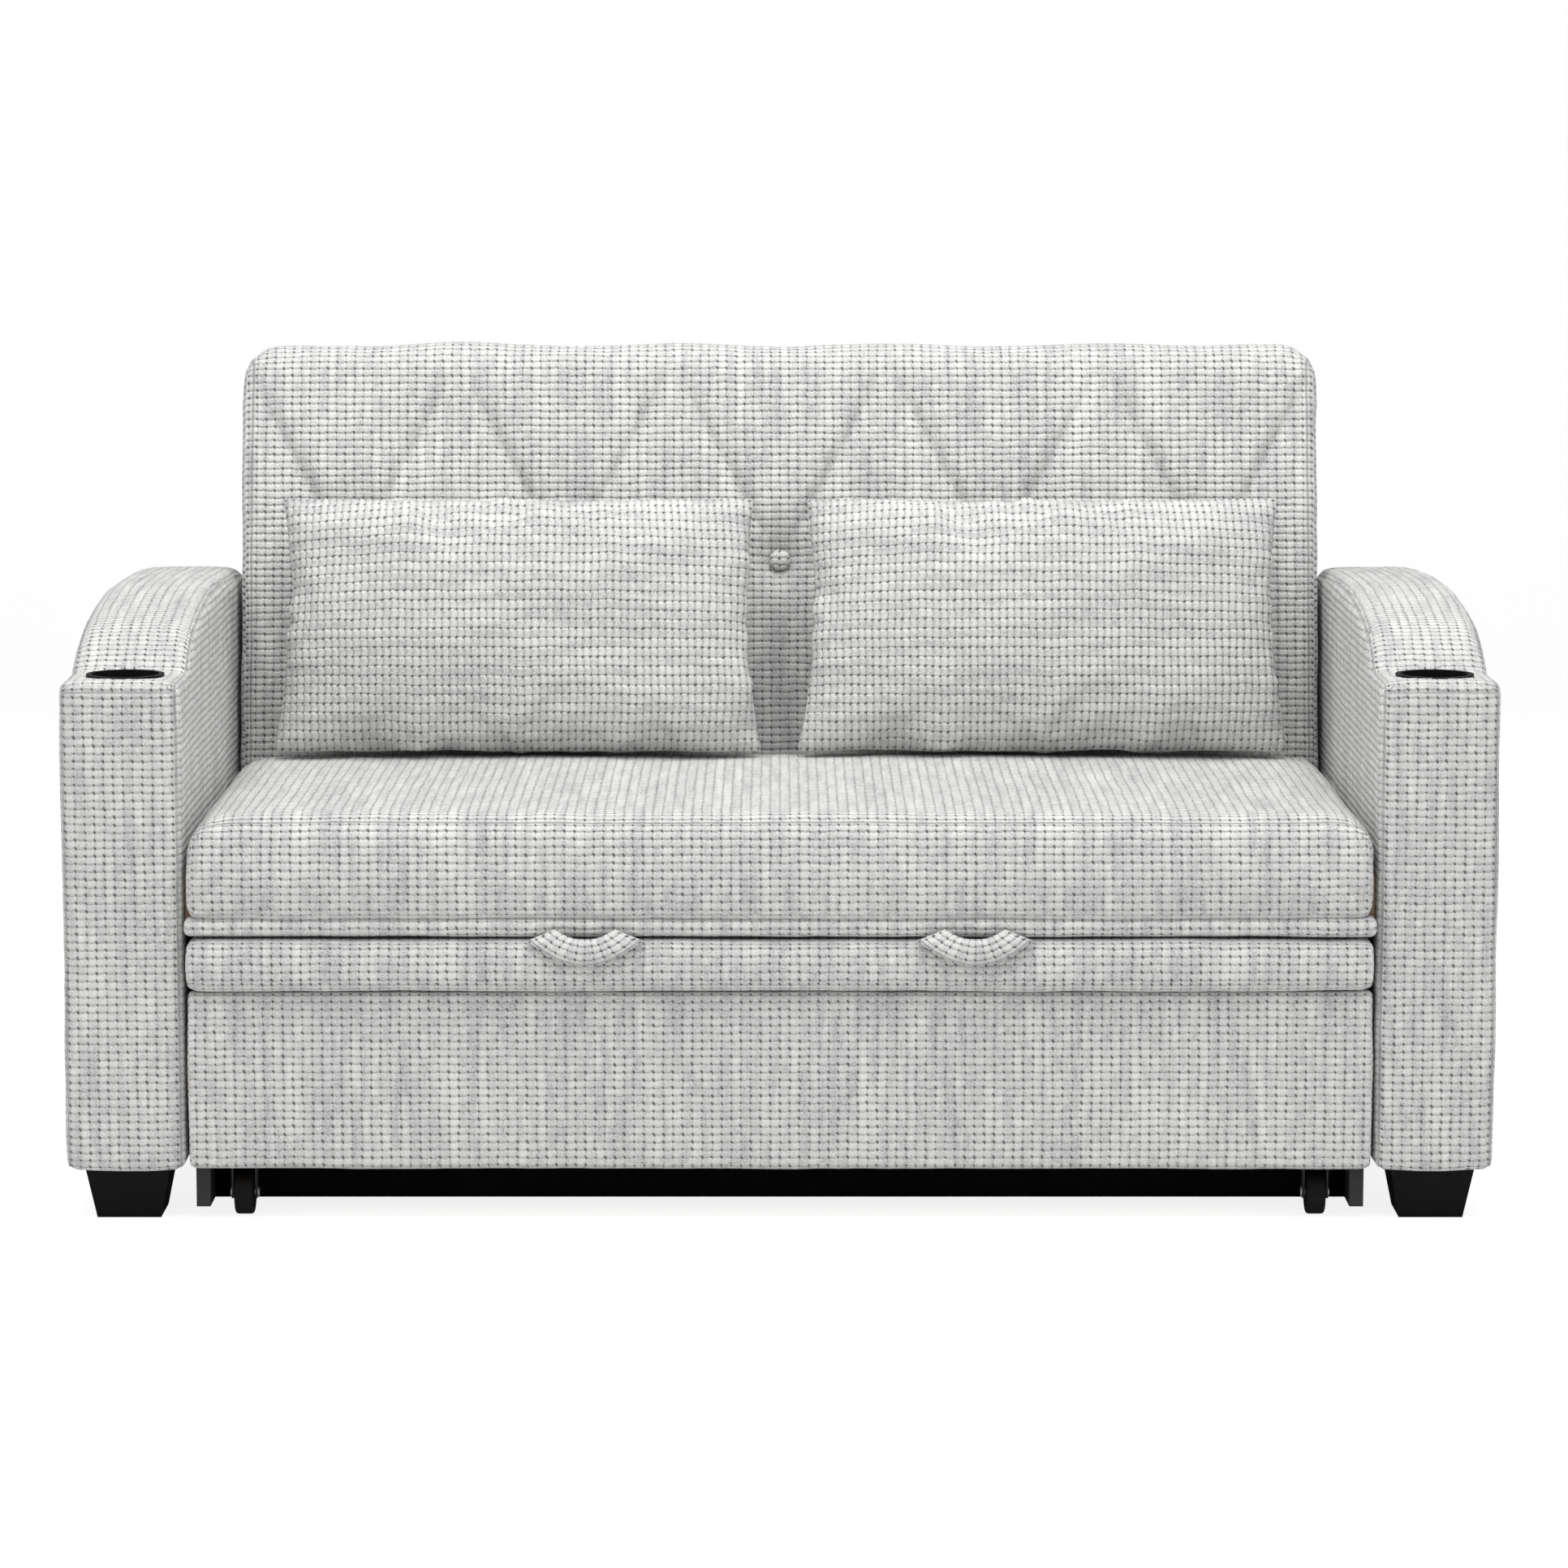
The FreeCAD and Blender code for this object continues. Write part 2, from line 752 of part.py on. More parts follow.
def seat_cushion():
    """Foam seat: bulging front over the rail, rounded front and side edges, crowned top."""
    front = size("-seat_front_set - front_to_origin")
    rear = size(f"{SEAT_REAR} - front_to_origin")
    lip = front + size("seat_lip")
    low, under = size(f"{DECK_TOP} + fit_gap"), size("seat_frame_top + 2 * strap_thickness + fit_gap")
    top, crown = size("seat_top"), size("seat_crown")
    round_front, bulge = size("seat_front_round"), size("seat_front_bulge")
    side = size(SEAT_HALF)
    section = side_section(
        [
            (front + bulge, low),
            (lip, low),
            (lip, under),
            (rear, under),
            (rear, top),
            (front + round_front, top),
            (front + bulge, top - round_front),
        ],
        [0, 0, 0, 0, crown, corner_bulge(round_front), bulge],
        side,
    )
    edge = size("seat_side_round")
    corners = [(-side, low - 1), (side, low - 1), (side, top - edge), (side - edge, top)]
    corners += [(edge - side, top), (-side, top - edge)]
    face = bulged(
        [Vector(x, front - 1, z) for x, z in corners],
        [0, 0, corner_bulge(edge), crown, corner_bulge(edge), 0],
        Vector(0, -1, 0),
    )
    across = face.extrude(Vector(0, rear - front + 2, 0))
    return feature(section.common(across), "seat_cushion")


def platform_cushion():
    """Thinner mattress of the pull out, flat under and a little crowned on top."""
    front = size("-platform_set - front_to_origin")
    rear = size("platform_depth - front_to_origin")
    low, top = size(PLATFORM_BOTTOM), size("platform_top - platform_crown")
    edge, crown = size("platform_round"), size("platform_crown")
    corners = [(front + edge, low), (rear - edge, low), (rear, low + edge), (rear, top - edge)]
    corners += [(rear - edge, top), (front + edge, top), (front, top - edge), (front, low + edge)]
    turn = corner_bulge(edge)
    section = side_section(corners, [0, turn, 0, turn, crown, turn, 0, turn], size(PLATFORM_HALF))
    return feature(section, "platform_cushion")


def back_outline(half, low, top, corner):
    """The backrest seen from the front: square below, rounded at the upper corners."""
    points = [(-half, low), (half, low), (half, top - corner), (half - corner, top)]
    points += [(corner - half, top), (-half, top - corner)]
    bulge = corner_bulge(corner)
    return points, [0, 0, bulge, 0, bulge, 0]


def notches(depth_low, depth_high):
    """Room for the hinges at both lower ends of the backrest."""
    half, width = size(BACK_HALF), size("notch_width")
    low, top = size("-back_front") - 1, size("notch_top")
    blocks = []
    for x in (-half - 1, half - width):
        start = Vector(x, depth_low, low)
        blocks.append(Part.makeBox(width + 1, depth_high - depth_low, top - low, start))
    return blocks


def tuft_centres():
    """The five button places, across the back."""
    return [k * size(BUTTON_PITCH) for k in (-2, -1, 0, 1, 2)]


def groove(start, end, radius, depth):
    """A shallow round groove sunk depth into the front face between two points."""
    lift = Vector(0, -(radius - depth), 0)
    along = end - start
    return Part.makeCylinder(radius, along.Length, start + lift, along)


def front_face(x, height):
    """A point on the front face of the backrest, which is crowned up its height."""
    middle = size("(back_length - back_top_round) / 2")
    crown = size("back_crown") * (1 - ((height - middle) / middle) ** 2)
    return Vector(x, size("-back_front") - crown, height)


def tufting():
    """Dimples, diagonal pleats and creases that the buttons draw into the front face."""
    height, reach = size("button_height"), size("tuft_radius")
    deep, radius, sunk = size("tuft_depth"), size("pleat_radius"), size("pleat_depth")
    top, bottom = size("pleat_top"), size("crease_bottom")
    spread = size(f"{BUTTON_PITCH} / 2 - pleat_radius - fit_gap")
    tools = []
    for x in tuft_centres():
        start = front_face(x, height)
        mouth = start - Vector(0, 1, 0)
        dimple = Part.makeCone(reach, size("button_radius"), deep + 1, mouth, Vector(0, 1, 0))
        # half a turn puts the cone's own seam under the crease
        dimple.rotate(mouth, Vector(0, 1, 0), 180)
        tools.append(dimple)
        for end_x in (x - spread, x + spread):
            tools.append(groove(start, front_face(end_x, top), radius, sunk))
        tools.append(groove(start, front_face(x, bottom), radius, sunk))
    return tools


def back_cushion():
    """Tufted foam of the backrest, wrapped over its frame, with notches for the hinges."""
    half, length = size(BACK_HALF), size("back_length")
    front, rear = size("-back_front"), size("back_rear - back_cover - fit_gap")
    crown, top_round = size("back_crown"), size("back_top_round")
    rear_round, corner = size("back_rear_round"), size("back_corner")
    section = side_section(
        [
            (0, front),
            (rear, front),
            (rear, length - rear_round),
            (rear - rear_round, length),
            (front + top_round, length),
            (front, length - top_round),
            (front, 0),
        ],
        [0, 0, corner_bulge(rear_round), 0, corner_bulge(top_round), crown, corner_bulge(-front)],
        half,
    )
    reach = front - crown - size("fit_gap")
    points, bulges = back_outline(half, front - 1, length, corner)
    face = bulged([Vector(x, reach - 1, z) for x, z in points], bulges, Vector(0, -1, 0))
    upright = face.extrude(Vector(0, rear - reach + 2, 0))
    edge = size("back_side_round")
    plan = [(-half, rear + 1), (-half, reach + edge), (edge - half, reach)]
    plan += [(half - edge, reach), (half, reach + edge), (half, rear + 1)]
    turn = corner_bulge(edge)
    level = bulged(
        [Vector(x, y, front - 1) for x, y in plan], [0, turn, 0, turn, 0, 0], Vector(0, 0, 1)
    )
    block = section.common(upright).common(level.extrude(Vector(0, 0, length - front + 2)))
    cavity_half, cavity_front = size(BACK_CAVITY), size("stile_front - strap_thickness - fit_gap")
    cavity_low, cavity_top = size("-back_front + back_sole"), size("back_length - back_top_border")
    cavity = Part.makeBox(
        2 * cavity_half,
        rear - cavity_front + 1,
        cavity_top - cavity_low,
        Vector(-cavity_half, cavity_front, cavity_low),
    )
    shank = size("button_shank + fit_gap")
    shanks = [
        Part.makeCylinder(
            shank, cavity_front - front + 1, Vector(x, front, size("button_height")), Vector(0, 1, 0)
        )
        for x in tuft_centres()
    ]
    block = block.cut(notches(reach - 1, rear + 1) + [cavity])
    return feature(block.cut(tufting()).cut(shanks), "back_cushion", leaning=True)


def back_buttons():
    """Covered buttons, each with a twine shank that runs back to the webbing."""
    radius, dome, shank = size("button_radius"), size("button_dome"), size("button_shank")
    end = size("stile_front - strap_thickness")
    ball = (radius**2 + dome**2) / (2 * dome)
    solids = []
    for x in tuft_centres():
        seat = front_face(x, size("button_height")) + Vector(0, size("tuft_depth - fit_gap"), 0)
        cap = Part.makeSphere(ball, seat + Vector(0, ball - dome, 0))
        room = Part.makeCylinder(radius, dome, seat - Vector(0, dome, 0), Vector(0, 1, 0))
        twine = Part.makeCylinder(shank, end - seat.y, seat, Vector(0, 1, 0))
        solids.append(cap.common(room).fuse(twine))
    return feature(Part.makeCompound(solids), "back_buttons", leaning=True)


def back_cover():
    """Rear panel of the backrest, with the same rounded upper corners."""
    body = doc.addObject("PartDesign::Body", "back_cover")
    shape = sketched(body, "XZ_Plane")
    inset = "back_rear_round"
    half, top = BACK_HALF, f"back_length - {inset}"
    corner = f"(back_corner - {inset})"
    low, step = "-back_front", f"({BACK_HALF} - notch_width)"
    outline(
        shape,
        [
            (f"-{step}", low),
            (step, low),
            (step, "notch_top"),
            (half, "notch_top"),
            (half, f"{top} - {corner}", corner, 1),
            (f"{half} - {corner}", top),
            (f"-{half} + {corner}", top, corner, 1),
            (f"-{half}", f"{top} - {corner}"),
            (f"-{half}", "notch_top"),
            (f"-{step}", "notch_top"),
        ],
    )
    shape.AttachmentOffset = Placement(Vector(0, 0, -1), Rotation())
    shape.setExpression("AttachmentOffset.Base.z", linked("back_cover - back_rear"))
    pad(body, shape, "back_cover", reverse=True)
    return node(body, "back_cover", leaning=True)


def back_frame():
    """Two stiles and three rails, with five webbing straps over their front."""
    stile_x = (STILE_INNER, HINGE_ARM_INNER)
    stile_y = ("stile_front", "stile_front + stile_depth")
    stiles = [
        box(mirrored(stile_x, side), stile_y, (STILE_BOTTOM, STILE_TOP), local=True)
        for side in SIDES.values()
    ]
    node(group(stiles), "back_stiles", leaning=True)
    rails = []
    for low in (STILE_BOTTOM, "back_middle_rail", f"{STILE_TOP} - back_rail_height"):
        rails.append(
            box(
                (f"-{STILE_INNER}", STILE_INNER),
                ("stile_front", "stile_front + back_rail_depth"),
                (low, f"{low} + back_rail_height"),
                local=True,
            )
        )
    node(group(rails), "back_rails", leaning=True)
    straps = [
        box(
            (f"{k} * {BUTTON_PITCH} - strap_width / 2", f"{k} * {BUTTON_PITCH} + strap_width / 2"),
            ("stile_front - strap_thickness", "stile_front"),
            (STILE_BOTTOM, STILE_TOP),
            local=True,
        )
        for k in (-2, -1, 0, 1, 2)
    ]
    node(group(straps), "back_webbing", leaning=True)


# hinges

# where a hinge eye's round meets the straight sides of its plate, as distances from the axis
EYE_NEAR, EYE_FAR = "0.6 * hinge_eye_radius", "0.8 * hinge_eye_radius"


def hinge_bracket(name, side):
    """Steel plate on the seat rail that reaches back to the backrest's axis."""
    body = doc.addObject("PartDesign::Body", name)
    shape = sketched(body, "YZ_Plane")
    top = "(seat_frame_top - strap_thickness)"
    rear = f"hinge_setback + {EYE_NEAR}"
    outline(
        shape,
        [
            ("bracket_front", "bracket_bottom"),
            (FRAME_REAR, "bracket_bottom"),
            (rear, f"{HINGE_HEIGHT} - {EYE_FAR}", "hinge_eye_radius", 1),
            (rear, f"{HINGE_HEIGHT} + {EYE_FAR}", "hinge_eye_radius", 1),
            (f"hinge_setback - {EYE_FAR}", f"{HINGE_HEIGHT} + {EYE_NEAR}"),
            (FRAME_REAR, top),
            ("bracket_front", top),
        ],
    )
    ring(shape, "hinge_setback", HINGE_HEIGHT, "hinge_pin_radius + running_fit")
    pad(body, shape, "hinge_plate")
    place(body, mirrored((BRACKET_INNER, BRACKET_OUTER), side)[0])
    return node(body, name)


def hinge_arm(name, side):
    """Steel arm screwed to a stile, turning on the hinge pin with the backrest."""
    body = doc.addObject("PartDesign::Body", name)
    shape = sketched(body, "YZ_Plane")
    near, far = "stile_front", "stile_front + hinge_arm_width"
    outline(
        shape,
        [
            (f"-{EYE_NEAR}", f"-{EYE_FAR}", "hinge_eye_radius", 1),
            (EYE_FAR, f"-{EYE_NEAR}"),
            (far, "hinge_eye_radius"),
            (far, "hinge_arm_top"),
            (near, "hinge_arm_top"),
            (near, "notch_top - fit_gap"),
            (f"-{EYE_NEAR}", EYE_FAR, "hinge_eye_radius", 1),
        ],
    )
    ring(shape, "0", "0", "hinge_pin_radius + running_fit")
    pad(body, shape, "hinge_plate")
    lean(body, mirrored((HINGE_ARM_INNER, HINGE_ARM_OUTER), side)[0])
    return node(body, name)


def hinge_details():
    """Pivot pins with heads, toothed discs on the pins, and leaf springs on the stiles."""
    pins = []
    discs = []
    springs = []
    for side in SIDES.values():
        shank = (f"{HINGE_ARM_INNER} - fit_gap - ratchet_width", f"{BRACKET_OUTER} + fit_gap")
        head = (f"{BRACKET_OUTER} + fit_gap", f"{BRACKET_OUTER} + fit_gap + pin_head")
        pins.append(
            fused(
                [
                    rod("hinge_pin_radius", mirrored(shank, side), "hinge_setback", HINGE_HEIGHT),
                    rod("pin_head_radius", mirrored(head, side), "hinge_setback", HINGE_HEIGHT),
                ]
            )
        )
        discs.append(ratchet_disc(side))
        leaf_x = (f"{HINGE_ARM_INNER} - ratchet_width", HINGE_ARM_INNER)
        leaf_low = "ratchet_radius + fit_gap"
        springs.append(
            box(
                mirrored(leaf_x, side),
                ("-detent_reach", "stile_front"),
                (leaf_low, f"{leaf_low} + detent_thickness"),
                local=True,
            )
        )
    node(group(pins), "hinge_pins")
    node(group(discs), "ratchet_discs")
    node(group(springs), "detent_springs", leaning=True)


def ratchet_disc(side):
    """Toothed disc that sits on a hinge pin; its notches hold the backrest's positions."""
    body = doc.addObject("PartDesign::Body", "ratchet_disc")
    face = sketched(body, "YZ_Plane")
    ring(face, "0", "0", "ratchet_radius")
    ring(face, "0", "0", "hinge_pin_radius + running_fit")
    pad(body, face, "ratchet_width")
    notch = sketched(body, "YZ_Plane")
    ring(notch, "0", "ratchet_radius", "ratchet_tooth")
    bite = pocket(body, notch, "ratchet_width + 1", reverse=True)
    doc.recompute()
    teeth = body.newObject("PartDesign::PolarPattern", "teeth")
    teeth.Originals = [bite]
    teeth.Axis = (face, ["N_Axis"])
    teeth.Angle = 360
    teeth.Occurrences = 12
    body.Tip = teeth
    span = (f"{HINGE_ARM_INNER} - fit_gap - ratchet_width", f"{HINGE_ARM_INNER} - fit_gap")
    place(body, mirrored(span, side)[0], "hinge_setback", HINGE_HEIGHT)
    return body


# pull out bed


def trolley():
    """Wheeled box of the pull out: sides, front, rear, base boards, kick board and platform."""
    for word, side in SIDES.items():
        node(
            box(
                mirrored((TROLLEY_INNER, TROLLEY_OUTER), side),
                (BOARD_REAR, TROLLEY_REAR),
                ("trolley_bottom", "trolley_top"),
            ),
            f"{word}_trolley_side",
        )
    inner = (f"-{TROLLEY_INNER}", TROLLEY_INNER)
    outer = (f"-{TROLLEY_OUTER}", TROLLEY_OUTER)
    node(
        box(
            outer,
            ("front_panel_padding - front_panel_proud", BOARD_REAR),
            ("front_panel_bottom", "trolley_top"),
        ),
        "trolley_front_board",
    )
    rear_face = f"({TROLLEY_REAR} - rear_board)"
    base_boards = [
        box(inner, (low, f"{low} + base_board_depth"), ("front_panel_bottom", BASE_BOARD_TOP))
        for low in (BOARD_REAR, f"({rear_face} - base_board_depth)")
    ]
    node(group(base_boards), "trolley_base_boards")
    node(
        box(
            inner,
            (f"{BOARD_REAR} + base_board_depth - kick_board", f"{BOARD_REAR} + base_board_depth"),
            ("trolley_bottom", "front_panel_bottom"),
        ),
        "kick_board",
    )
    node(
        box(inner, (rear_face, TROLLEY_REAR), ("front_panel_bottom", "trolley_top")),
        "trolley_rear_board",
    )
    node(
        box(outer, (BOARD_REAR, "platform_depth"), ("trolley_top", PLATFORM_BOTTOM)),
        "platform_board",
    )
    glides = []
    stops = []
    stop_rear = "(stop_setback + stop_depth)"
    rear_glide = f"({TROLLEY_REAR} - glide_rear_set - glide_length)"
    for side in SIDES.values():
        across = mirrored((TROLLEY_OUTER, f"{ARM_INNER} - glide_gap"), side)
        glides.append(
            box(
                across,
                ("glide_front", "glide_front + glide_length"),
                ("glide_bottom", "glide_bottom + glide_height"),
            )
        )
        glides.append(
            box(
                across,
                (rear_glide, f"{rear_glide} + glide_length"),
                ("stop_bottom", "stop_bottom + glide_height"),
            )
        )
        stops.append(
            box(
                mirrored((f"{ARM_INNER} - stop_width", ARM_INNER), side),
                ("stop_setback", stop_rear),
                ("stop_bottom", "stop_bottom + glide_height"),
            )
        )
    node(group(glides), "side_glides")
    node(group(stops), "travel_stops")


def front_panel():
    """Padded front of the pull out with softly rounded edges."""
    body = doc.addObject("PartDesign::Body", "front_panel")
    shape = sketched(body, "XZ_Plane")
    outline(
        shape,
        [
            (f"-{PANEL_HALF}", "front_panel_bottom"),
            (PANEL_HALF, "front_panel_bottom"),
            (PANEL_HALF, "front_panel_top"),
            (f"-{PANEL_HALF}", "front_panel_top"),
        ],
    )
    block = pad(body, shape, "front_panel_padding")
    face = -size("front_panel_padding")
    rounded(
        body,
        block,
        "front_panel_round",
        lambda e: e.BoundBox.YLength < 0.01 and abs(e.BoundBox.YMin - face) < 0.01,
    )
    place(body, y="front_panel_padding - front_panel_proud")
    return node(body, "front_panel")


def pull_loop(name, side):
    """Fabric strap that bows forward and sags in a crescent, sewn to the platform's edge."""
    centre = side * size("loop_offset")
    half, strap, bow = size("loop_span / 2"), size("loop_strap"), size("loop_bow")
    back = size("-platform_set - fit_gap - front_to_origin")
    high, drop = size("loop_corner_height"), size("loop_corner_drop")
    sag, width = size("loop_sag"), size("loop_width")
    left, right = centre - half, centre + half
    low = high - sag - width - 1
    plan = [
        Part.Arc(Vector(left, back, low), Vector(centre, back - bow, low), Vector(right, back, low)),
        Part.LineSegment(Vector(right, back, low), Vector(right - 2 * strap, back, low)),
        Part.Arc(
            Vector(right - 2 * strap, back, low),
            Vector(centre, back - bow + strap, low),
            Vector(left + 2 * strap, back, low),
        ),
        Part.LineSegment(Vector(left + 2 * strap, back, low), Vector(left, back, low)),
    ]
    wall = Part.Face(Part.Wire([piece.toShape() for piece in plan]))
    wall = wall.extrude(Vector(0, 0, sag + width + 2))
    front = back - bow - 1
    upper = Part.Arc(
        Vector(right, front, high), Vector(centre, front, high - sag), Vector(left, front, high)
    )
    lower = Part.Arc(
        Vector(left, front, high - drop),
        Vector(centre, front, high - sag - width),
        Vector(right, front, high - drop),
    )
    ends = [
        Part.LineSegment(Vector(left, front, high), Vector(left, front, high - drop)),
        Part.LineSegment(Vector(right, front, high - drop), Vector(right, front, high)),
    ]
    wire = Part.Wire([upper.toShape(), ends[0].toShape(), lower.toShape(), ends[1].toShape()])
    crescent = Part.Face(wire).extrude(Vector(0, bow + 2, 0))
    return feature(wall.common(crescent), name)


LINK_TOP = "(link_height + link_width / 2)"


def lift():
    """The platform's pop-up lift, folded flat: four links on pins, brackets and two struts."""
    plates = []
    brackets = []
    links = []
    pins = []
    struts = []
    plate_x = (f"{TROLLEY_INNER} - lift_plate", TROLLEY_INNER)
    link_x = (f"{plate_x[0]} - fit_gap - link_thickness", f"{plate_x[0]} - fit_gap")
    bracket_x = (f"{link_x[0]} - fit_gap - lift_plate", f"{link_x[0]} - fit_gap")
    rise = "(link_height + link_rise)"
    reach = "sqrt(link_length * link_length - link_rise * link_rise)"
    for side in SIDES.values():
        for start in ("link_front", "link_rear"):
            end = f"({start} + {reach})"
            plate = lift_plate(plate_x, side, start, ("link_height - link_width", LINK_TOP))
            bracket = lift_plate(bracket_x, side, end, (f"{rise} - link_width / 2", "trolley_top"))
            link = lift_link(mirrored(link_x, side)[0], start)
            plates.append(cut(plate, [lift_bore(side, start, "link_height")]))
            brackets.append(cut(bracket, [lift_bore(side, end, rise)]))
            bores = [lift_bore(side, start, "link_height"), lift_bore(side, end, rise)]
            links.append(cut(link, bores))
            low_pin, high_pin = (link_x[0], plate_x[1]), (bracket_x[0], link_x[1])
            pins.append(rod("lift_pin_radius", mirrored(low_pin, side), start, "link_height"))
            pins.append(rod("lift_pin_radius", mirrored(high_pin, side), end, rise))
        struts += strut(side)
    node(group(plates), "lift_plates")
    node(group(brackets), "lift_brackets")
    node(group(links), "lift_links")
    node(group(pins), "lift_pins")
    node(group(struts), "lift_struts")


def lift_plate(x, side, depth, height):
    """A small steel plate on a trolley side or under the platform, which carries a link's pin."""
    half = "lift_plate_length / 2"
    return box(mirrored(x, side), (f"{depth} - {half}", f"{depth} + {half}"), height)


def lift_bore(side, depth, height):
    """The hole that a link's pin turns in, right through plate, link and bracket."""
    room = mirrored((f"{TROLLEY_INNER} - 4 * lift_plate", TROLLEY_INNER), side)
    return rod("lift_pin_radius + running_fit", room, depth, height)


def lift_link(x, start):
    """A flat link bar, nearly level, with its lower end at the start depth."""
    bar = doc.addObject("Part::Box", "link")
    bar.Placement = Placement(Vector(), Rotation(Vector(1, 0, 0), 1))
    bind(bar, Length="link_thickness", Width="link_length + link_width", Height="link_width")
    bar.setExpression("Placement.Rotation.Angle", linked("asin(link_rise / link_length)"))
    turn = "asin(link_rise / link_length)"
    half = "link_width / 2"
    place(
        bar,
        x,
        f"{start} - {half} * cos({turn}) + {half} * sin({turn})",
        f"link_height - {half} * sin({turn}) - {half} * cos({turn})",
    )
    return bar


def strut(side):
    """A gas strut along a trolley side, between two lugs."""
    centre = f"({TROLLEY_INNER} - strut_lug)"
    tube_end = "(strut_front + strut_tube_length)"
    rod_end = f"({tube_end} + strut_rod_length)"
    lug_x = mirrored((f"{centre} - strut_radius", TROLLEY_INNER), side)
    lug_z = ("strut_height - strut_radius", "strut_height + strut_radius")
    pieces = [
        box(lug_x, ("strut_front - strut_lug", "strut_front"), lug_z),
        box(lug_x, (rod_end, f"{rod_end} + strut_lug"), lug_z),
    ]
    for radius, start, length in (
        ("strut_radius", "strut_front", "strut_tube_length"),
        ("strut_rod_radius", tube_end, "strut_rod_length"),
    ):
        bar = doc.addObject("Part::Cylinder", "strut")
        bar.Placement = Placement(Vector(), Rotation(Vector(1, 0, 0), -90))
        bind(bar, Radius=radius, Height=length)
        place(bar, f"{side} * {centre}", start, "strut_height")
        pieces.append(bar)
    return pieces


# casters

CASTER_DEPTHS = {"front": "caster_setback", "rear": f"({TROLLEY_REAR} - caster_setback)"}


def caster_fork(side, depth):
    """Bent steel fork: a foot plate under the base board and two cheeks."""
    centre = f"{side} * {CASTER_OFFSET}"
    foot_plate = box(
        (f"{centre} - {FORK_HALF}", f"{centre} + {FORK_HALF}"),
        (f"{depth} - fork_foot_depth / 2", f"{depth} + fork_foot_depth / 2"),
        ("front_panel_bottom - fork_plate", "front_panel_bottom"),
    )
    cheeks = []
    for face in (-1, 1):
        edge = (f"{face} * {FORK_HALF}", f"{face} * ({FORK_HALF} - fork_plate)")
        low, high = edge if face < 0 else edge[::-1]
        cheeks.append(
            box(
                (f"{centre} + {low}", f"{centre} + {high}"),
                (f"{depth} - fork_depth / 2", f"{depth} + fork_depth / 2"),
                (f"{AXLE_HEIGHT} - axle_head_radius", "front_panel_bottom - fork_plate"),
            )
        )
    bore = rod(
        "axle_radius + running_fit",
        (f"{centre} - {FORK_HALF}", f"{centre} + {FORK_HALF}"),
        depth,
        AXLE_HEIGHT,
    )
    return cut(fused([foot_plate] + cheeks), [bore])


def caster_axle(side, depth):
    """Axle with a rivet head outside each cheek."""
    centre = f"{side} * {CASTER_OFFSET}"
    shank = rod(
        "axle_radius", (f"{centre} - {FORK_HALF}", f"{centre} + {FORK_HALF}"), depth, AXLE_HEIGHT
    )
    heads = [
        rod(
            "axle_head_radius",
            (f"{centre} + {FORK_HALF}", f"{centre} + {FORK_HALF} + axle_head"),
            depth,
            AXLE_HEIGHT,
        ),
        rod(
            "axle_head_radius",
            (f"{centre} - {FORK_HALF} - axle_head", f"{centre} - {FORK_HALF}"),
            depth,
            AXLE_HEIGHT,
        ),
    ]
    return fused([shank] + heads)


def wheel(name, side, depth):
    """Solid wheel with rounded shoulders and a bore for its axle."""
    body = doc.addObject("PartDesign::Body", name)
    shape = sketched(body, "XZ_Plane")
    half, edge = "wheel_width / 2", "wheel_round"
    bore = "axle_radius + running_fit"
    outline(
        shape,
        [
            (f"-{half}", bore),
            (half, bore),
            (half, f"wheel_radius - {edge}", edge, 1),
            (f"{half} - {edge}", "wheel_radius"),
            (f"-{half} + {edge}", "wheel_radius", edge, 1),
            (f"-{half}", f"wheel_radius - {edge}"),
        ],
    )
    turned = body.newObject("PartDesign::Revolution", "turned")
    turned.Profile = shape
    turned.ReferenceAxis = (shape, ["H_Axis"])
    turned.Angle = 360
    place(body, f"{side} * {CASTER_OFFSET}", depth, AXLE_HEIGHT)
    return node(body, name)


def casters():
    forks = []
    axles = []
    for end, depth in CASTER_DEPTHS.items():
        for word, side in SIDES.items():
            forks.append(caster_fork(side, depth))
            axles.append(caster_axle(side, depth))
            wheel(f"{end}_{word}_wheel", side, depth)
    node(group(forks), "caster_forks")
    node(group(axles), "caster_axles")


# rear panel


def rear_panel():
    """Upholstered panel that closes the sofa's back below the backrest."""
    half = (f"-{ARM_INNER}", ARM_INNER)
    height = ("rear_panel_bottom", "rear_panel_top")
    board_rear = f"{REAR_BOARD_FRONT} + rear_panel_board"
    node(box(half, (REAR_BOARD_FRONT, board_rear), height), "rear_panel_board")
    node(box(half, (board_rear, "arm_depth"), height), "rear_panel_cover")


# pillows

# the places along a pillow, from its middle to its ends, that its loft runs through
PILLOW_STATIONS = (-1, -0.92, -0.72, -0.4, 0, 0.4, 0.72, 0.92, 1)
# how squarely its thickness falls to its ends: 2 is an ellipse, more is fuller
PILLOW_FULLNESS = 3.2


def pillow_section(centre, height, thickness, edge):
    """One lens of a pillow: two bulging sides that meet at narrow seams."""
    high = Vector(0, 0, height / 2)
    slim, full = Vector(0, edge / 2, 0), Vector(0, thickness / 2, 0)
    front = Part.Arc(centre - slim - high, centre - full, centre - slim + high)
    rear = Part.Arc(centre + slim + high, centre + full, centre + slim - high)
    top = Part.LineSegment(centre - slim + high, centre + slim + high)
    bottom = Part.LineSegment(centre + slim - high, centre - slim - high)
    return Part.Wire([piece.toShape() for piece in (front, top, rear, bottom)])


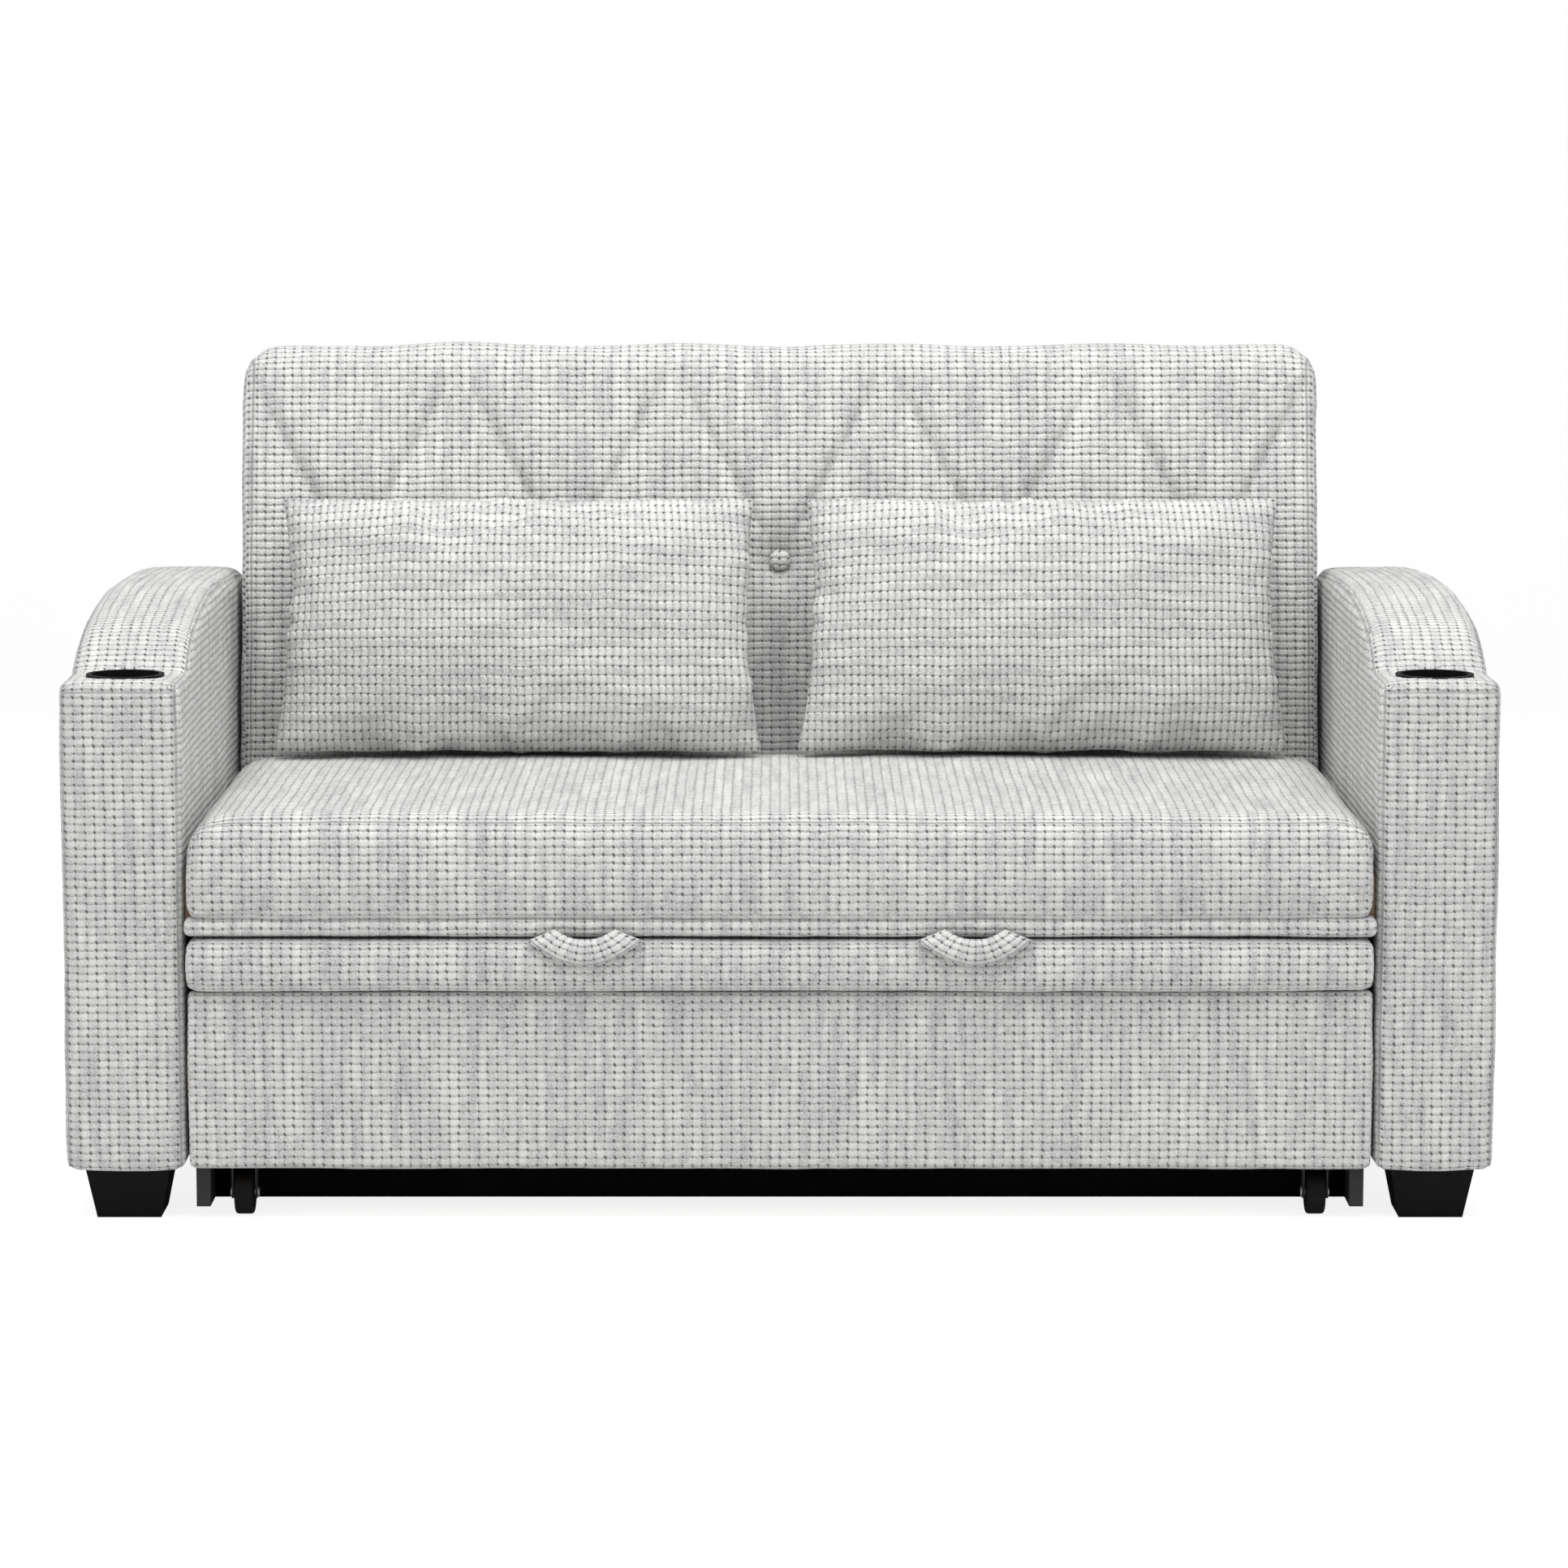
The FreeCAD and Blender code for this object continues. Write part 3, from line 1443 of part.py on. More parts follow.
def pillow(name, side):
    """Loose cushion: full in the middle, thin at its seams, with drawn-in sides."""
    length, height = size(PILLOW_LENGTH), size("pillow_height")
    thickness, edge, waist = size("pillow_thickness"), size("pillow_edge"), size("pillow_waist")
    end_thickness = size("pillow_end")
    depth = size("-back_front - back_crown - fit_gap") - thickness / 2
    middle = Vector(side * size(PILLOW_CENTRE), depth, size("pillow_base") + height / 2)
    wires = []
    for share in PILLOW_STATIONS:
        full = math.sqrt(1 - abs(share) ** PILLOW_FULLNESS)
        wires.append(
            pillow_section(
                middle + Vector(share * length / 2, 0, 0),
                height - 2 * waist * (1 - share**2),
                end_thickness + (thickness - end_thickness) * full,
                edge,
            )
        )
    return feature(Part.makeLoft(wires, True, False), name, leaning=True)


# assembly

for word, side in SIDES.items():
    arm_cover(f"{word}_arm_cover", side)
    arm_frame(f"{word}_arm_frame", side)
    cup_holder(f"{word}_cup_holder", side)
    for end in FOOT_PLACES:
        foot(f"{end}_{word}_foot", side, end)
foot_bolts = [
    foot_bolt(side, end, "leg_bolt_radius", "leg_bolt_length / 2")
    for side in SIDES.values()
    for end in FOOT_PLACES
]
node(group(foot_bolts), "foot_bolts")

seat_frame()
frame_bolts()
seat_cushion()

back_frame()
back_cushion()
back_buttons()
back_cover()
for word, side in SIDES.items():
    hinge_bracket(f"{word}_hinge_bracket", side)
    hinge_arm(f"{word}_hinge_arm", side)
hinge_details()

trolley()
front_panel()
platform_cushion()
for word, side in SIDES.items():
    pull_loop(f"{word}_pull_loop", side)
lift()
casters()
rear_panel()
for word, side in SIDES.items():
    pillow(f"{word}_pillow", side)

doc.recompute()

# checks before anything is written
for thing in doc.Objects:
    if "Invalid" in thing.State or "Error" in thing.State:
        raise RuntimeError(f"{thing.Name} ({thing.Label}) is {thing.State}")
for thing in nodes:
    if thing.Shape.isNull() or not thing.Shape.isValid() or not thing.Shape.Solids:
        raise RuntimeError(f"{thing.Label} has no valid shape")

os.makedirs("parts", exist_ok=True)
for thing in nodes:
    thing.Shape.exportStep(os.path.join("parts", f"{thing.Label}.step"))
    print(thing.Label, len(thing.Shape.Solids), round(thing.Shape.Volume / 1e6, 3))
print(len(nodes), "sub-parts")
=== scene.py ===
import json
import math

import bmesh
import bpy
import numpy as np
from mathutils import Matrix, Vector, noise


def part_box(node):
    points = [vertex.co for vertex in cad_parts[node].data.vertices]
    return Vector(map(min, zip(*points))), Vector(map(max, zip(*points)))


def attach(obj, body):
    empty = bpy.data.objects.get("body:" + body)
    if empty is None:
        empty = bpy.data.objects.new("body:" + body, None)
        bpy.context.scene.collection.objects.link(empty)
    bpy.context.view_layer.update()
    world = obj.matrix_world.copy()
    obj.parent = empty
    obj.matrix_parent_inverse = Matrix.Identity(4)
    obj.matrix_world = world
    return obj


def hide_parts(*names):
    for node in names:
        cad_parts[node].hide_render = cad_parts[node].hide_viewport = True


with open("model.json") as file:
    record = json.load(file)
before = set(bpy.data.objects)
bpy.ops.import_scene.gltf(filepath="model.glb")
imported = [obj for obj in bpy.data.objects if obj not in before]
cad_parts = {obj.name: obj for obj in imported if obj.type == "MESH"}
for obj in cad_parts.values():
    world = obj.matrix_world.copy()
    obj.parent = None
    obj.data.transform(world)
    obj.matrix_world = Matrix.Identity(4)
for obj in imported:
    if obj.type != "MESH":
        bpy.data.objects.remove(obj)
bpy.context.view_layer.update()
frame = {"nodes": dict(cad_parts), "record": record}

# Sleeper sofa with a pull out bed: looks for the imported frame.
# X runs to the viewer's right, Y to the rear, Z up, all in metres.

SIDES = {"left": -1, "right": 1}

# the photograph's camera
CAMERA_PLACE = (0.0, -6.3516, 1.3014)
CAMERA_PITCH = math.radians(7.5726)
FOCAL_PIXELS = 6468
PHOTO_SIDE = 1932
CENTRE_OFFSET = 5
SENSOR = 36

# the basket weave: one puffy cell's width and height
CELL_WIDTH = 0.0112
CELL_HEIGHT = 0.0091

# a vertex this near to a side outline lies on its wall
WALL_REACH = 0.0015
# a face whose normal leans this much to the side belongs to a piece's end
CAP_SLOPE = 0.72
# faces with more corners than this are split
MANY_CORNERS = 4
# how far the covers of frames and of cushions lie inside their solids before they swell
COVER_INSET = 0.0008
CUSHION_INSET = 0.0006
# how deep and how wide a stitched seam draws the cover in
SEAM_DEPTH = 0.0012
SEAM_WIDTH = 0.004
# a seam distance that no stitching reaches
NO_SEAM = 0.02


# meshes


def placed(name, data):
    """A new object of the scene that shows its data."""
    item = bpy.data.objects.new(name, data)
    bpy.context.scene.collection.objects.link(item)
    return item


def mesh_object(name, vertices, faces):
    """A new object from a list of corners and faces."""
    data = bpy.data.meshes.new(name)
    data.from_pydata([tuple(v) for v in vertices], [], [tuple(f) for f in faces])
    data.validate()
    return placed(name, data)


def table(rows, word, width, kind=float):
    """One property of all rows of a mesh, as an array."""
    values = np.empty(len(rows) * width, dtype=kind)
    rows.foreach_get(word, values)
    return values.reshape(len(rows), width)


def places_of(item):
    return table(item.data.vertices, "co", 3)


def normals_of(item):
    return table(item.data.vertex_normals, "vector", 3)


def set_places(item, places):
    item.data.vertices.foreach_set("co", np.ascontiguousarray(places, dtype=np.float32).ravel())
    item.data.update()


def pushed(item, amount):
    """Move each vertex out along its normal by its amount."""
    set_places(item, places_of(item) + normals_of(item) * amount[:, None])


def smooth_shaded(item):
    item.data.polygons.foreach_set("use_smooth", [True] * len(item.data.polygons))
    item.data.update()


def baked(item):
    """Apply an object's modifiers to its mesh."""
    graph = bpy.context.evaluated_depsgraph_get()
    data = bpy.data.meshes.new_from_object(item.evaluated_get(graph))
    old = item.data
    item.modifiers.clear()
    item.data = data
    bpy.data.meshes.remove(old)
    return item


def remeshed(item, voxel):
    """Even quads of one size over a closed form."""
    change = item.modifiers.new("voxels", "REMESH")
    change.mode = "VOXEL"
    change.voxel_size = voxel
    change.adaptivity = 0
    return baked(item)


def subdivided(item):
    change = item.modifiers.new("finer", "SUBSURF")
    change.levels = 1
    change.render_levels = 1
    return baked(item)


def facing_out(item):
    """Turn all faces of a closed form outwards, and split the ones with many corners."""
    work = bmesh.new()
    work.from_mesh(item.data)
    bmesh.ops.recalc_face_normals(work, faces=work.faces)
    bmesh.ops.triangulate(work, faces=[f for f in work.faces if len(f.verts) > MANY_CORNERS])
    work.to_mesh(item.data)
    work.free()
    return item


def relaxed(item, rounds, share=None):
    """Round a form's edges: each vertex moves towards its neighbours' mean, by its share."""
    places = places_of(item)
    edges = table(item.data.edges, "vertices", 2, np.int64)
    count = len(places)
    both = np.concatenate([edges, edges[:, ::-1]])
    degree = np.bincount(both[:, 0], minlength=count)
    weight = np.full(count, 0.5) if share is None else 0.5 * share
    for _ in range(rounds):
        mean = np.stack(
            [np.bincount(both[:, 0], places[both[:, 1], axis], count) for axis in range(3)], axis=1
        )
        mean /= degree[:, None]
        places += (mean - places) * weight[:, None]
    set_places(item, places)
    return item


def prism(name, outline, x_low, x_high):
    """A closed form with one side outline of (y, z) points, carried across from x_low to x_high."""
    count = len(outline)
    vertices = [(x_low, y, z) for y, z in outline] + [(x_high, y, z) for y, z in outline]
    faces = [(i, (i + 1) % count, (i + 1) % count + count, i + count) for i in range(count)]
    faces.append(tuple(reversed(range(count))))
    faces.append(tuple(range(count, 2 * count)))
    return facing_out(mesh_object(name, vertices, faces))


def two_sheets(columns, rows):
    """Faces of two equal grids, one numbered after the other, joined round their rim."""
    stride = rows + 1
    second = (columns + 1) * stride
    faces = []
    for i in range(columns):
        for j in range(rows):
            a = i * stride + j
            quad = (a, a + stride, a + stride + 1, a + 1)
            faces.append(quad)
            faces.append(tuple(corner + second for corner in reversed(quad)))
    for i in range(columns):
        for a in (i * stride, i * stride + rows):
            faces.append((a, a + stride, a + stride + second, a + second))
    for j in range(rows):
        for a in (j, columns * stride + j):
            faces.append((a, a + 1, a + 1 + second, a + second))
    return faces


def arc(start, end, radius, turn, step=0.008):
    """Points of a short arc from start to end, without its end; turn 1 turns left."""
    start, end = np.array(start), np.array(end)
    chord = end - start
    half = np.hypot(*chord) / 2
    left = np.array([-chord[1], chord[0]]) / (2 * half)
    centre = (start + end) / 2 + left * math.sqrt(max(radius**2 - half**2, 0)) * turn
    first = math.atan2(*(start - centre)[::-1])
    sweep = 2 * math.asin(min(half / radius, 1)) * turn
    count = max(2, int(abs(sweep) * radius / step))
    angles = [first + sweep * k / count for k in range(count)]
    return [(centre[0] + radius * math.cos(a), centre[1] + radius * math.sin(a)) for a in angles]


def rounded_outline(corners, step=0.008):
    """A closed outline; each corner is (y, z, radius), and the corners turn counter-clockwise."""
    points = []
    count = len(corners)
    for index in range(count):
        corner = np.array(corners[index][:2])
        radius = corners[index][2]
        before = np.array(corners[index - 1][:2]) - corner
        after = np.array(corners[(index + 1) % count][:2]) - corner
        before /= np.hypot(*before)
        after /= np.hypot(*after)
        if radius <= 0:
            points.append(tuple(corner))
            continue
        half = math.acos(float(np.clip(before @ after, -1, 1))) / 2
        reach = radius / math.tan(half)
        turn = 1 if before[0] * after[1] - before[1] * after[0] < 0 else -1
        start, end = corner + before * reach, corner + after * reach
        points += arc(start, end, radius, turn, min(step, radius / 3))
        points.append(tuple(end))
    return points


def waves(places, length, seed):
    """Smooth seeded noise at each place, about -1 to 1; length is a wave's length."""
    shift = Vector((seed * 7.31, seed * 3.17, seed * 5.53))
    octaves = 2
    return np.array([noise.fractal(Vector(p) / length + shift, 0.6, 2.0, octaves) for p in places])


def limited(values):
    """Values kept within 0 to 1."""
    return np.clip(values, 0, 1)


def bell(distance, width):
    """1 at no distance, falling to almost nothing at twice the width."""
    return np.exp(-((distance / width) ** 2))


def side_edges_rounded(item, outline, x_low, x_high, radius):
    """Round a prism's two side edges; radius is a number or one number per vertex."""
    places, normals = places_of(item), normals_of(item)
    _, gap, nearest = along_outline(outline, places)
    on_wall = (gap <= WALL_REACH)[:, None]
    inward = np.where(on_wall, -normals[:, 1:3], places[:, 1:3] - nearest)
    inward /= np.maximum(np.hypot(*inward.T), 1e-9)[:, None]
    middle, half = (x_low + x_high) / 2, (x_high - x_low) / 2
    side = np.sign(places[:, 0] - middle)
    from_side = half - np.abs(places[:, 0] - middle)
    over_wall, over_side = radius - gap, radius - from_side
    corner = (over_wall > 0) & (over_side > 0)
    share = np.maximum(over_wall, over_side) / np.maximum(np.hypot(over_wall, over_side), 1e-9)
    moved_in = np.where(corner, over_wall * (1 - share), 0)
    moved_across = np.where(corner, over_side * (1 - share), 0)
    places[:, 1:3] += inward * moved_in[:, None]
    places[:, 0] -= side * moved_across
    set_places(item, places)
    return item


# where a weave's threads run


def along_outline(outline, places):
    """For each place, how far along a closed (y, z) outline its nearest point lies, the gap
    to that point, and the point."""
    ring = np.array(outline + outline[:1])
    steps = np.diff(ring, axis=0)
    lengths = np.hypot(steps[:, 0], steps[:, 1])
    starts = np.concatenate([[0], np.cumsum(lengths)[:-1]])
    best = np.full(len(places), 1e9)
    found = np.zeros(len(places))
    nearest = np.zeros((len(places), 2))
    for start, step, length, run in zip(ring[:-1], steps, lengths, starts):
        if length < 1e-9:
            continue
        away = places[:, 1:3] - start
        share = np.clip(away @ step / length**2, 0, 1)
        point = start + share[:, None] * step
        gap = np.hypot(*(places[:, 1:3] - point).T)
        closer = gap < best
        best[closer] = gap[closer]
        found[closer] = run + share[closer] * length
        nearest[closer] = point[closer]
    return found, best, nearest


def outline_length(outline):
    ring = np.array(outline + outline[:1])
    return float(np.hypot(*np.diff(ring, axis=0).T).sum())


def face_normals(item):
    return table(item.data.polygons, "normal", 3)


def corner_tables(item):
    """For each face corner: its vertex and its face."""
    vertex = table(item.data.loops, "vertex_index", 1, np.int64)[:, 0]
    totals = table(item.data.polygons, "loop_total", 1, np.int64)[:, 0]
    return vertex, np.repeat(np.arange(len(totals)), totals)


def weave_map(item, across, along, swap=False):
    """Store the weave's coordinates, in metres, as the UV map cloth."""
    layer = item.data.uv_layers.new(name="cloth")
    pair = (along, across) if swap else (across, along)
    layer.uv.foreach_set("vector", np.stack(pair, axis=1).astype(np.float32).ravel())


def wrap_weave(item, outline):
    """Run the weave round a side outline, and straight over both end faces."""
    places = places_of(item)
    run, _, _ = along_outline(outline, places)
    whole = outline_length(outline)
    vertex, face = corner_tables(item)
    on_cap = np.abs(face_normals(item)[:, 0])[face] > CAP_SLOPE
    along = run[vertex]
    # a face that spans the outline's first point doesn't wrap back through the whole outline
    low = np.full(len(item.data.polygons), 1e9)
    np.minimum.at(low, face, along)
    along = np.where(along - low[face] > whole / 2, along - whole, along)
    across = places[vertex, 0]
    across = np.where(on_cap, places[vertex, 1], across)
    along = np.where(on_cap, places[vertex, 2], along)
    weave_map(item, across, along)


def box_weave(item):
    """Lay the weave flat over each side of a boxy form."""
    places = places_of(item)
    vertex, face = corner_tables(item)
    main = np.abs(face_normals(item)).argmax(axis=1)[face]
    across = np.where(main == 0, places[vertex, 1], places[vertex, 0])
    along = np.where(main == 2, places[vertex, 1], places[vertex, 2])
    weave_map(item, across, along)


def vertex_values(item, name, values):
    """Store one number per vertex, which a material reads by name."""
    layer = item.data.attributes.new(name, "FLOAT", "POINT")
    layer.data.foreach_set("value", np.asarray(values, dtype=np.float32))


# materials


class Nodes:
    """Short words for building a material's node tree."""

    def __init__(self, name):
        self.material = bpy.data.materials.new(name)
        self.material.use_nodes = True
        self.tree = self.material.node_tree
        self.shader = self.tree.nodes["Principled BSDF"]

    def add(self, kind, **settings):
        item = self.tree.nodes.new("ShaderNode" + kind)
        for key, value in settings.items():
            setattr(item, key, value)
        return item

    def wire(self, target, value):
        if isinstance(value, bpy.types.NodeSocket):
            self.tree.links.new(value, target)
        else:
            target.default_value = value

    def math(self, operation, *values, clamp=False):
        item = self.add("Math", operation=operation, use_clamp=clamp)
        for socket, value in zip(item.inputs, values):
            self.wire(socket, value)
        return item.outputs[0]

    def times(self, first, second):
        return self.math("MULTIPLY", first, second)

    def times_plus(self, first, second, third, clamp=False):
        return self.math("MULTIPLY_ADD", first, second, third, clamp=clamp)

    def ramp(self, value, low, high, out_low=0.0, out_high=1.0):
        item = self.add("MapRange", interpolation_type="SMOOTHSTEP")
        for socket, number in zip(item.inputs, (value, low, high, out_low, out_high)):
            self.wire(socket, number)
        return item.outputs[0]

    def mix(self, share, first, second):
        item = self.add("Mix", data_type="RGBA")
        self.wire(item.inputs[0], share)
        self.wire(item.inputs[6], first)
        self.wire(item.inputs[7], second)
        return item.outputs[2]

    def vector(self, x=0.0, y=0.0, z=0.0):
        item = self.add("CombineXYZ")
        for socket, value in zip(item.inputs, (x, y, z)):
            self.wire(socket, value)
        return item.outputs[0]

    def noise(self, place, scale, detail=2.0, rough=0.5):
        item = self.add("TexNoise")
        self.wire(item.inputs["Vector"], place)
        item.inputs["Scale"].default_value = scale
        item.inputs["Detail"].default_value = detail
        item.inputs["Roughness"].default_value = rough
        return item.outputs[0]

    def bump(self, height, distance, strength=1.0):
        item = self.add("Bump")
        item.inputs["Strength"].default_value = strength
        item.inputs["Distance"].default_value = distance
        self.wire(item.inputs["Height"], height)
        self.wire(self.shader.inputs["Normal"], item.outputs[0])

    def set(self, **values):
        for name, value in values.items():
            self.wire(self.shader.inputs[name.replace("_", " ")], value)


def grey(value, warmth=0.0):
    return (value * (1 + warmth), value, value * (1 - 1.6 * warmth), 1)


LIGHT_YARN = (0.775, 0.768, 0.752, 1)
DARK_YARN = (0.365, 0.370, 0.374, 1)
# the darkest colour: painted shade in holes, furrows and creases mixes towards it, and so do the seams
PAINTED_SHADE_AND_SEAM = (0.075, 0.076, 0.078, 1)


def weave_material(name, streak):
    """Chenille basket weave: puffy cells, painted shade in their furrows and in the holes at their
    corners, and uneven yarn.
    """
    n = Nodes(name)
    cloth = n.add("UVMap", uv_map="cloth").outputs[0]
    split = n.add("SeparateXYZ")
    n.wire(split.inputs[0], cloth)
    across, along = split.outputs[0], split.outputs[1]

    def noise_over(wide, tall, detail=2.0, rough=0.5):
        place = n.vector(n.math("DIVIDE", across, wide), n.math("DIVIDE", along, tall))
        return n.noise(place, 1.0, detail, rough)

    def centred(value):
        return n.math("SUBTRACT", value, 0.5)

    # rows and columns wander a little, and each row sags between its holes
    wander = n.times(centred(noise_over(0.03, 0.03, 1.0)), 0.0034)
    column = n.math("DIVIDE", n.math("ADD", across, wander), CELL_WIDTH)
    swing = n.math("COSINE", n.times(column, 2 * math.pi))
    level = n.math("DIVIDE", n.math("ADD", along, wander), CELL_HEIGHT)
    row = n.times_plus(swing, 0.055, level)
    from_column = n.math("PINGPONG", column, 0.5)
    from_row = n.math("PINGPONG", row, 0.5)

    # comma shaped holes where four cells meet, each with its own size, which painted shade darkens
    hole_row, hole_column = n.math("ROUND", row), n.math("ROUND", column)
    spot = n.add("TexWhiteNoise", noise_dimensions="2D")
    n.wire(spot.inputs["Vector"], n.vector(hole_column, hole_row))
    up = n.math("SUBTRACT", row, hole_row)
    beside = n.times_plus(up, -0.28, n.math("SUBTRACT", column, hole_column))
    size = n.times_plus(spot.outputs[0], 0.55, 0.80)
    wide = n.math("DIVIDE", beside, n.times(size, 0.115))
    tall = n.math("DIVIDE", up, n.times(size, 0.20))
    reach = n.math("SQRT", n.math("ADD", n.times(wide, wide), n.times(tall, tall)))
    holes = n.ramp(reach, 0.45, 1.35, 1.0, 0.0)

    # soft furrows between rows, and weaker ones between columns, which painted shade darkens
    row_furrow = n.ramp(from_row, 0.0, 0.15, 1.0, 0.0)
    column_furrow = n.ramp(from_column, 0.0, 0.085, 1.0, 0.0)

    # columns of darker yarn, whose twist shows as flecks in the cells
    cell = n.add("TexWhiteNoise", noise_dimensions="2D")
    n.wire(cell.inputs["Vector"], n.vector(n.math("FLOOR", column), n.math("FLOOR", row)))
    streaks = n.times(centred(noise_over(0.0115, 0.11, 3.0, 0.6)), 0.8 * streak)
    bands = n.times(centred(noise_over(0.045, 0.30, 1.0)), 0.45 * streak)
    fuzz = noise_over(0.0011, 0.0011, 3.0, 0.65)
    twist = n.ramp(noise_over(0.0030, 0.0014, 1.0), 0.50, 0.62)
    darker = n.times_plus(streaks, -2.6, n.times_plus(bands, -1.6, 0.42), clamp=True)
    flecks = n.times(twist, n.times_plus(darker, 0.62, 0.10))
    tone = n.times_plus(streaks, 1.15, 0.74)
    tone = n.times_plus(bands, 0.75, tone)
    tone = n.times_plus(centred(cell.outputs[0]), 0.20, tone)
    tone = n.times_plus(centred(fuzz), 0.75, tone)
    tone = n.math("SUBTRACT", tone, n.times(flecks, 0.95), clamp=True)
    colour = n.mix(tone, DARK_YARN, LIGHT_YARN)

    # painted shade darkens the furrows, holes and creases, and the seams are darker
    seam = n.add("Attribute", attribute_name="seam").outputs["Fac"]
    stitched = n.ramp(n.math("ABSOLUTE", seam), 0.0004, 0.0022, 1.0, 0.0)
    painted_shade = n.add("Attribute", attribute_name="painted_shade").outputs["Fac"]
    shade = n.math("MAXIMUM", n.times(row_furrow, 0.40), n.times(column_furrow, 0.16))
    shade = n.math("MAXIMUM", shade, n.times(holes, 0.93))
    shade = n.math("MAXIMUM", shade, n.times(stitched, 0.42))
    shade = n.math("MAXIMUM", shade, n.times(painted_shade, 0.5))
    colour = n.mix(shade, colour, PAINTED_SHADE_AND_SEAM)

    swell = n.times(n.ramp(from_row, 0.0, 0.34), n.ramp(from_column, -0.12, 0.26))
    height = n.times_plus(fuzz, 0.30, swell)
    height = n.times_plus(flecks, -0.25, height)
    height = n.times_plus(holes, -0.8, height)
    height = n.times_plus(stitched, -0.9, height)
    n.set(Base_Color=colour, Roughness=0.92, Sheen_Weight=0.2, Sheen_Roughness=0.5)
    n.set(Specular_IOR_Level=0.2)
    n.bump(height, 0.0016, 0.85)
    return n.material


def object_place(n, stretch=(1.0, 1.0, 1.0)):
    """Where on its object a point lies, with each axis scaled."""
    spread = n.add("Mapping")
    n.wire(spread.inputs[0], n.add("TexCoord").outputs["Object"])
    spread.inputs["Scale"].default_value = stretch
    return spread.outputs[0]


def wood_material(name, light, dark, rough, stretch=(3.0, 3.0, 60.0)):
    """Sawn wood or ply with long grain and paler and darker rings."""
    n = Nodes(name)
    grain = n.noise(object_place(n, stretch), 6.0, 6.0, 0.65)
    broad = n.noise(object_place(n), 5.0, 2.0)
    tone = n.times_plus(n.math("SUBTRACT", grain, 0.5), 1.6, broad, clamp=True)
    n.set(Base_Color=n.mix(tone, dark, light), Roughness=rough)
    n.bump(grain, 0.0004, 0.5)
    return n.material


def board_material(name, colour, worn, rough, shine):
    """Coated board with a fine leathery grain and paler rubbed spots."""
    n = Nodes(name)
    grain = n.noise(object_place(n), 650.0, 3.0, 0.6)
    wear = n.ramp(n.noise(object_place(n), 14.0, 5.0, 0.7), 0.52, 0.78)
    n.set(Base_Color=n.mix(n.times(wear, 0.5), colour, worn))
    n.set(Roughness=n.times_plus(grain, 0.25, rough), Specular_IOR_Level=shine)
    n.bump(grain, 0.0002, 0.5)
    return n.material


def plastic_material(name, colour, rough, shine):
    """Moulded plastic with a fine spark-eroded grain."""
    n = Nodes(name)
    grain = n.noise(object_place(n), 900.0, 2.0)
    cloud = n.noise(object_place(n), 9.0, 3.0)
    paler = tuple(min(1.0, c * 1.8 + 0.004) for c in colour[:3]) + (1,)
    n.set(Base_Color=n.mix(n.times(cloud, 0.35), colour, paler))
    n.set(Roughness=n.times_plus(grain, 0.2, rough), Specular_IOR_Level=shine)
    n.bump(grain, 0.00012, 0.5)
    return n.material


def metal_material(name, colour, metallic, rough):
    """Rolled or plated steel with fine drawn streaks."""
    n = Nodes(name)
    lines = n.noise(object_place(n, (40.0, 40.0, 900.0)), 1.0, 3.0, 0.6)
    cloud = n.noise(object_place(n), 22.0, 3.0)
    darker = tuple(c * 0.7 for c in colour[:3]) + (1,)
    n.set(Base_Color=n.mix(n.times(cloud, 0.6), colour, darker), Metallic=metallic)
    n.set(Roughness=n.times_plus(lines, 0.22, rough))
    n.bump(lines, 0.00008, 0.5)
    return n.material


def webbing_material(name):
    """Elastic webbing with fine ribs along the strap."""
    n = Nodes(name)
    place = object_place(n)
    ribs = n.add("TexWave", wave_type="BANDS", bands_direction="X")
    n.wire(ribs.inputs["Vector"], place)
    ribs.inputs["Scale"].default_value = 170.0
    ribs.inputs["Distortion"].default_value = 0.6
    weave = n.noise(place, 500.0, 2.0)
    tone = n.times_plus(ribs.outputs["Fac"], 0.6, n.times(weave, 0.4))
    n.set(Base_Color=n.mix(tone, grey(0.045), grey(0.16)), Roughness=0.9)
    n.bump(tone, 0.0005, 0.8)
    return n.material


MATERIALS = {
    "plywood": wood_material("plywood", (0.62, 0.45, 0.27, 1), (0.40, 0.26, 0.14, 1), 0.7),
    "softwood": wood_material("softwood", (0.72, 0.54, 0.32, 1), (0.50, 0.33, 0.17, 1), 0.65, (3, 50, 50)),
    "grey_board": board_material("grey_board", grey(0.030), grey(0.12), 0.55, 0.3),
    # a black board, made darker than black paint as painted shade for the deep shadow under the sofa
    "black_board": board_material("black_board", grey(0.0012), grey(0.004), 0.7, 0.06),
    "webbing": webbing_material("webbing"),
    "black_plastic": plastic_material("black_plastic", grey(0.0025), 0.45, 0.14),
    "foot_plastic": plastic_material("foot_plastic", (0.0036, 0.0031, 0.0031, 1), 0.5, 0.10),
    "glide_plastic": plastic_material("glide_plastic", grey(0.75), 0.4, 0.5),
    "black_steel": metal_material("black_steel", grey(0.018), 0.4, 0.4),
    "zinc_steel": metal_material("zinc_steel", grey(0.62), 1.0, 0.28),
    "sofa_fabric": weave_material("sofa_weave", 1.0),
    "pillow_fabric": weave_material("pillow_weave", 0.9),
}

for row in frame["record"]["subparts"]:
    data = frame["nodes"][row["node"]].data
    data.materials.clear()
    data.materials.append(MATERIALS[row["material_slot"]])


def finished(item, body, slot_name, node):
    """Dress a new piece, let it ride on its body and hide the solid that it stands for."""
    if "seam" not in item.data.attributes:
        vertex_values(item, "seam", np.full(len(item.data.vertices), NO_SEAM))
    item.data.materials.clear()
    item.data.materials.append(MATERIALS[slot_name])
    smooth_shaded(item)
    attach(item, body)
    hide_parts(node)
    return item


# arms

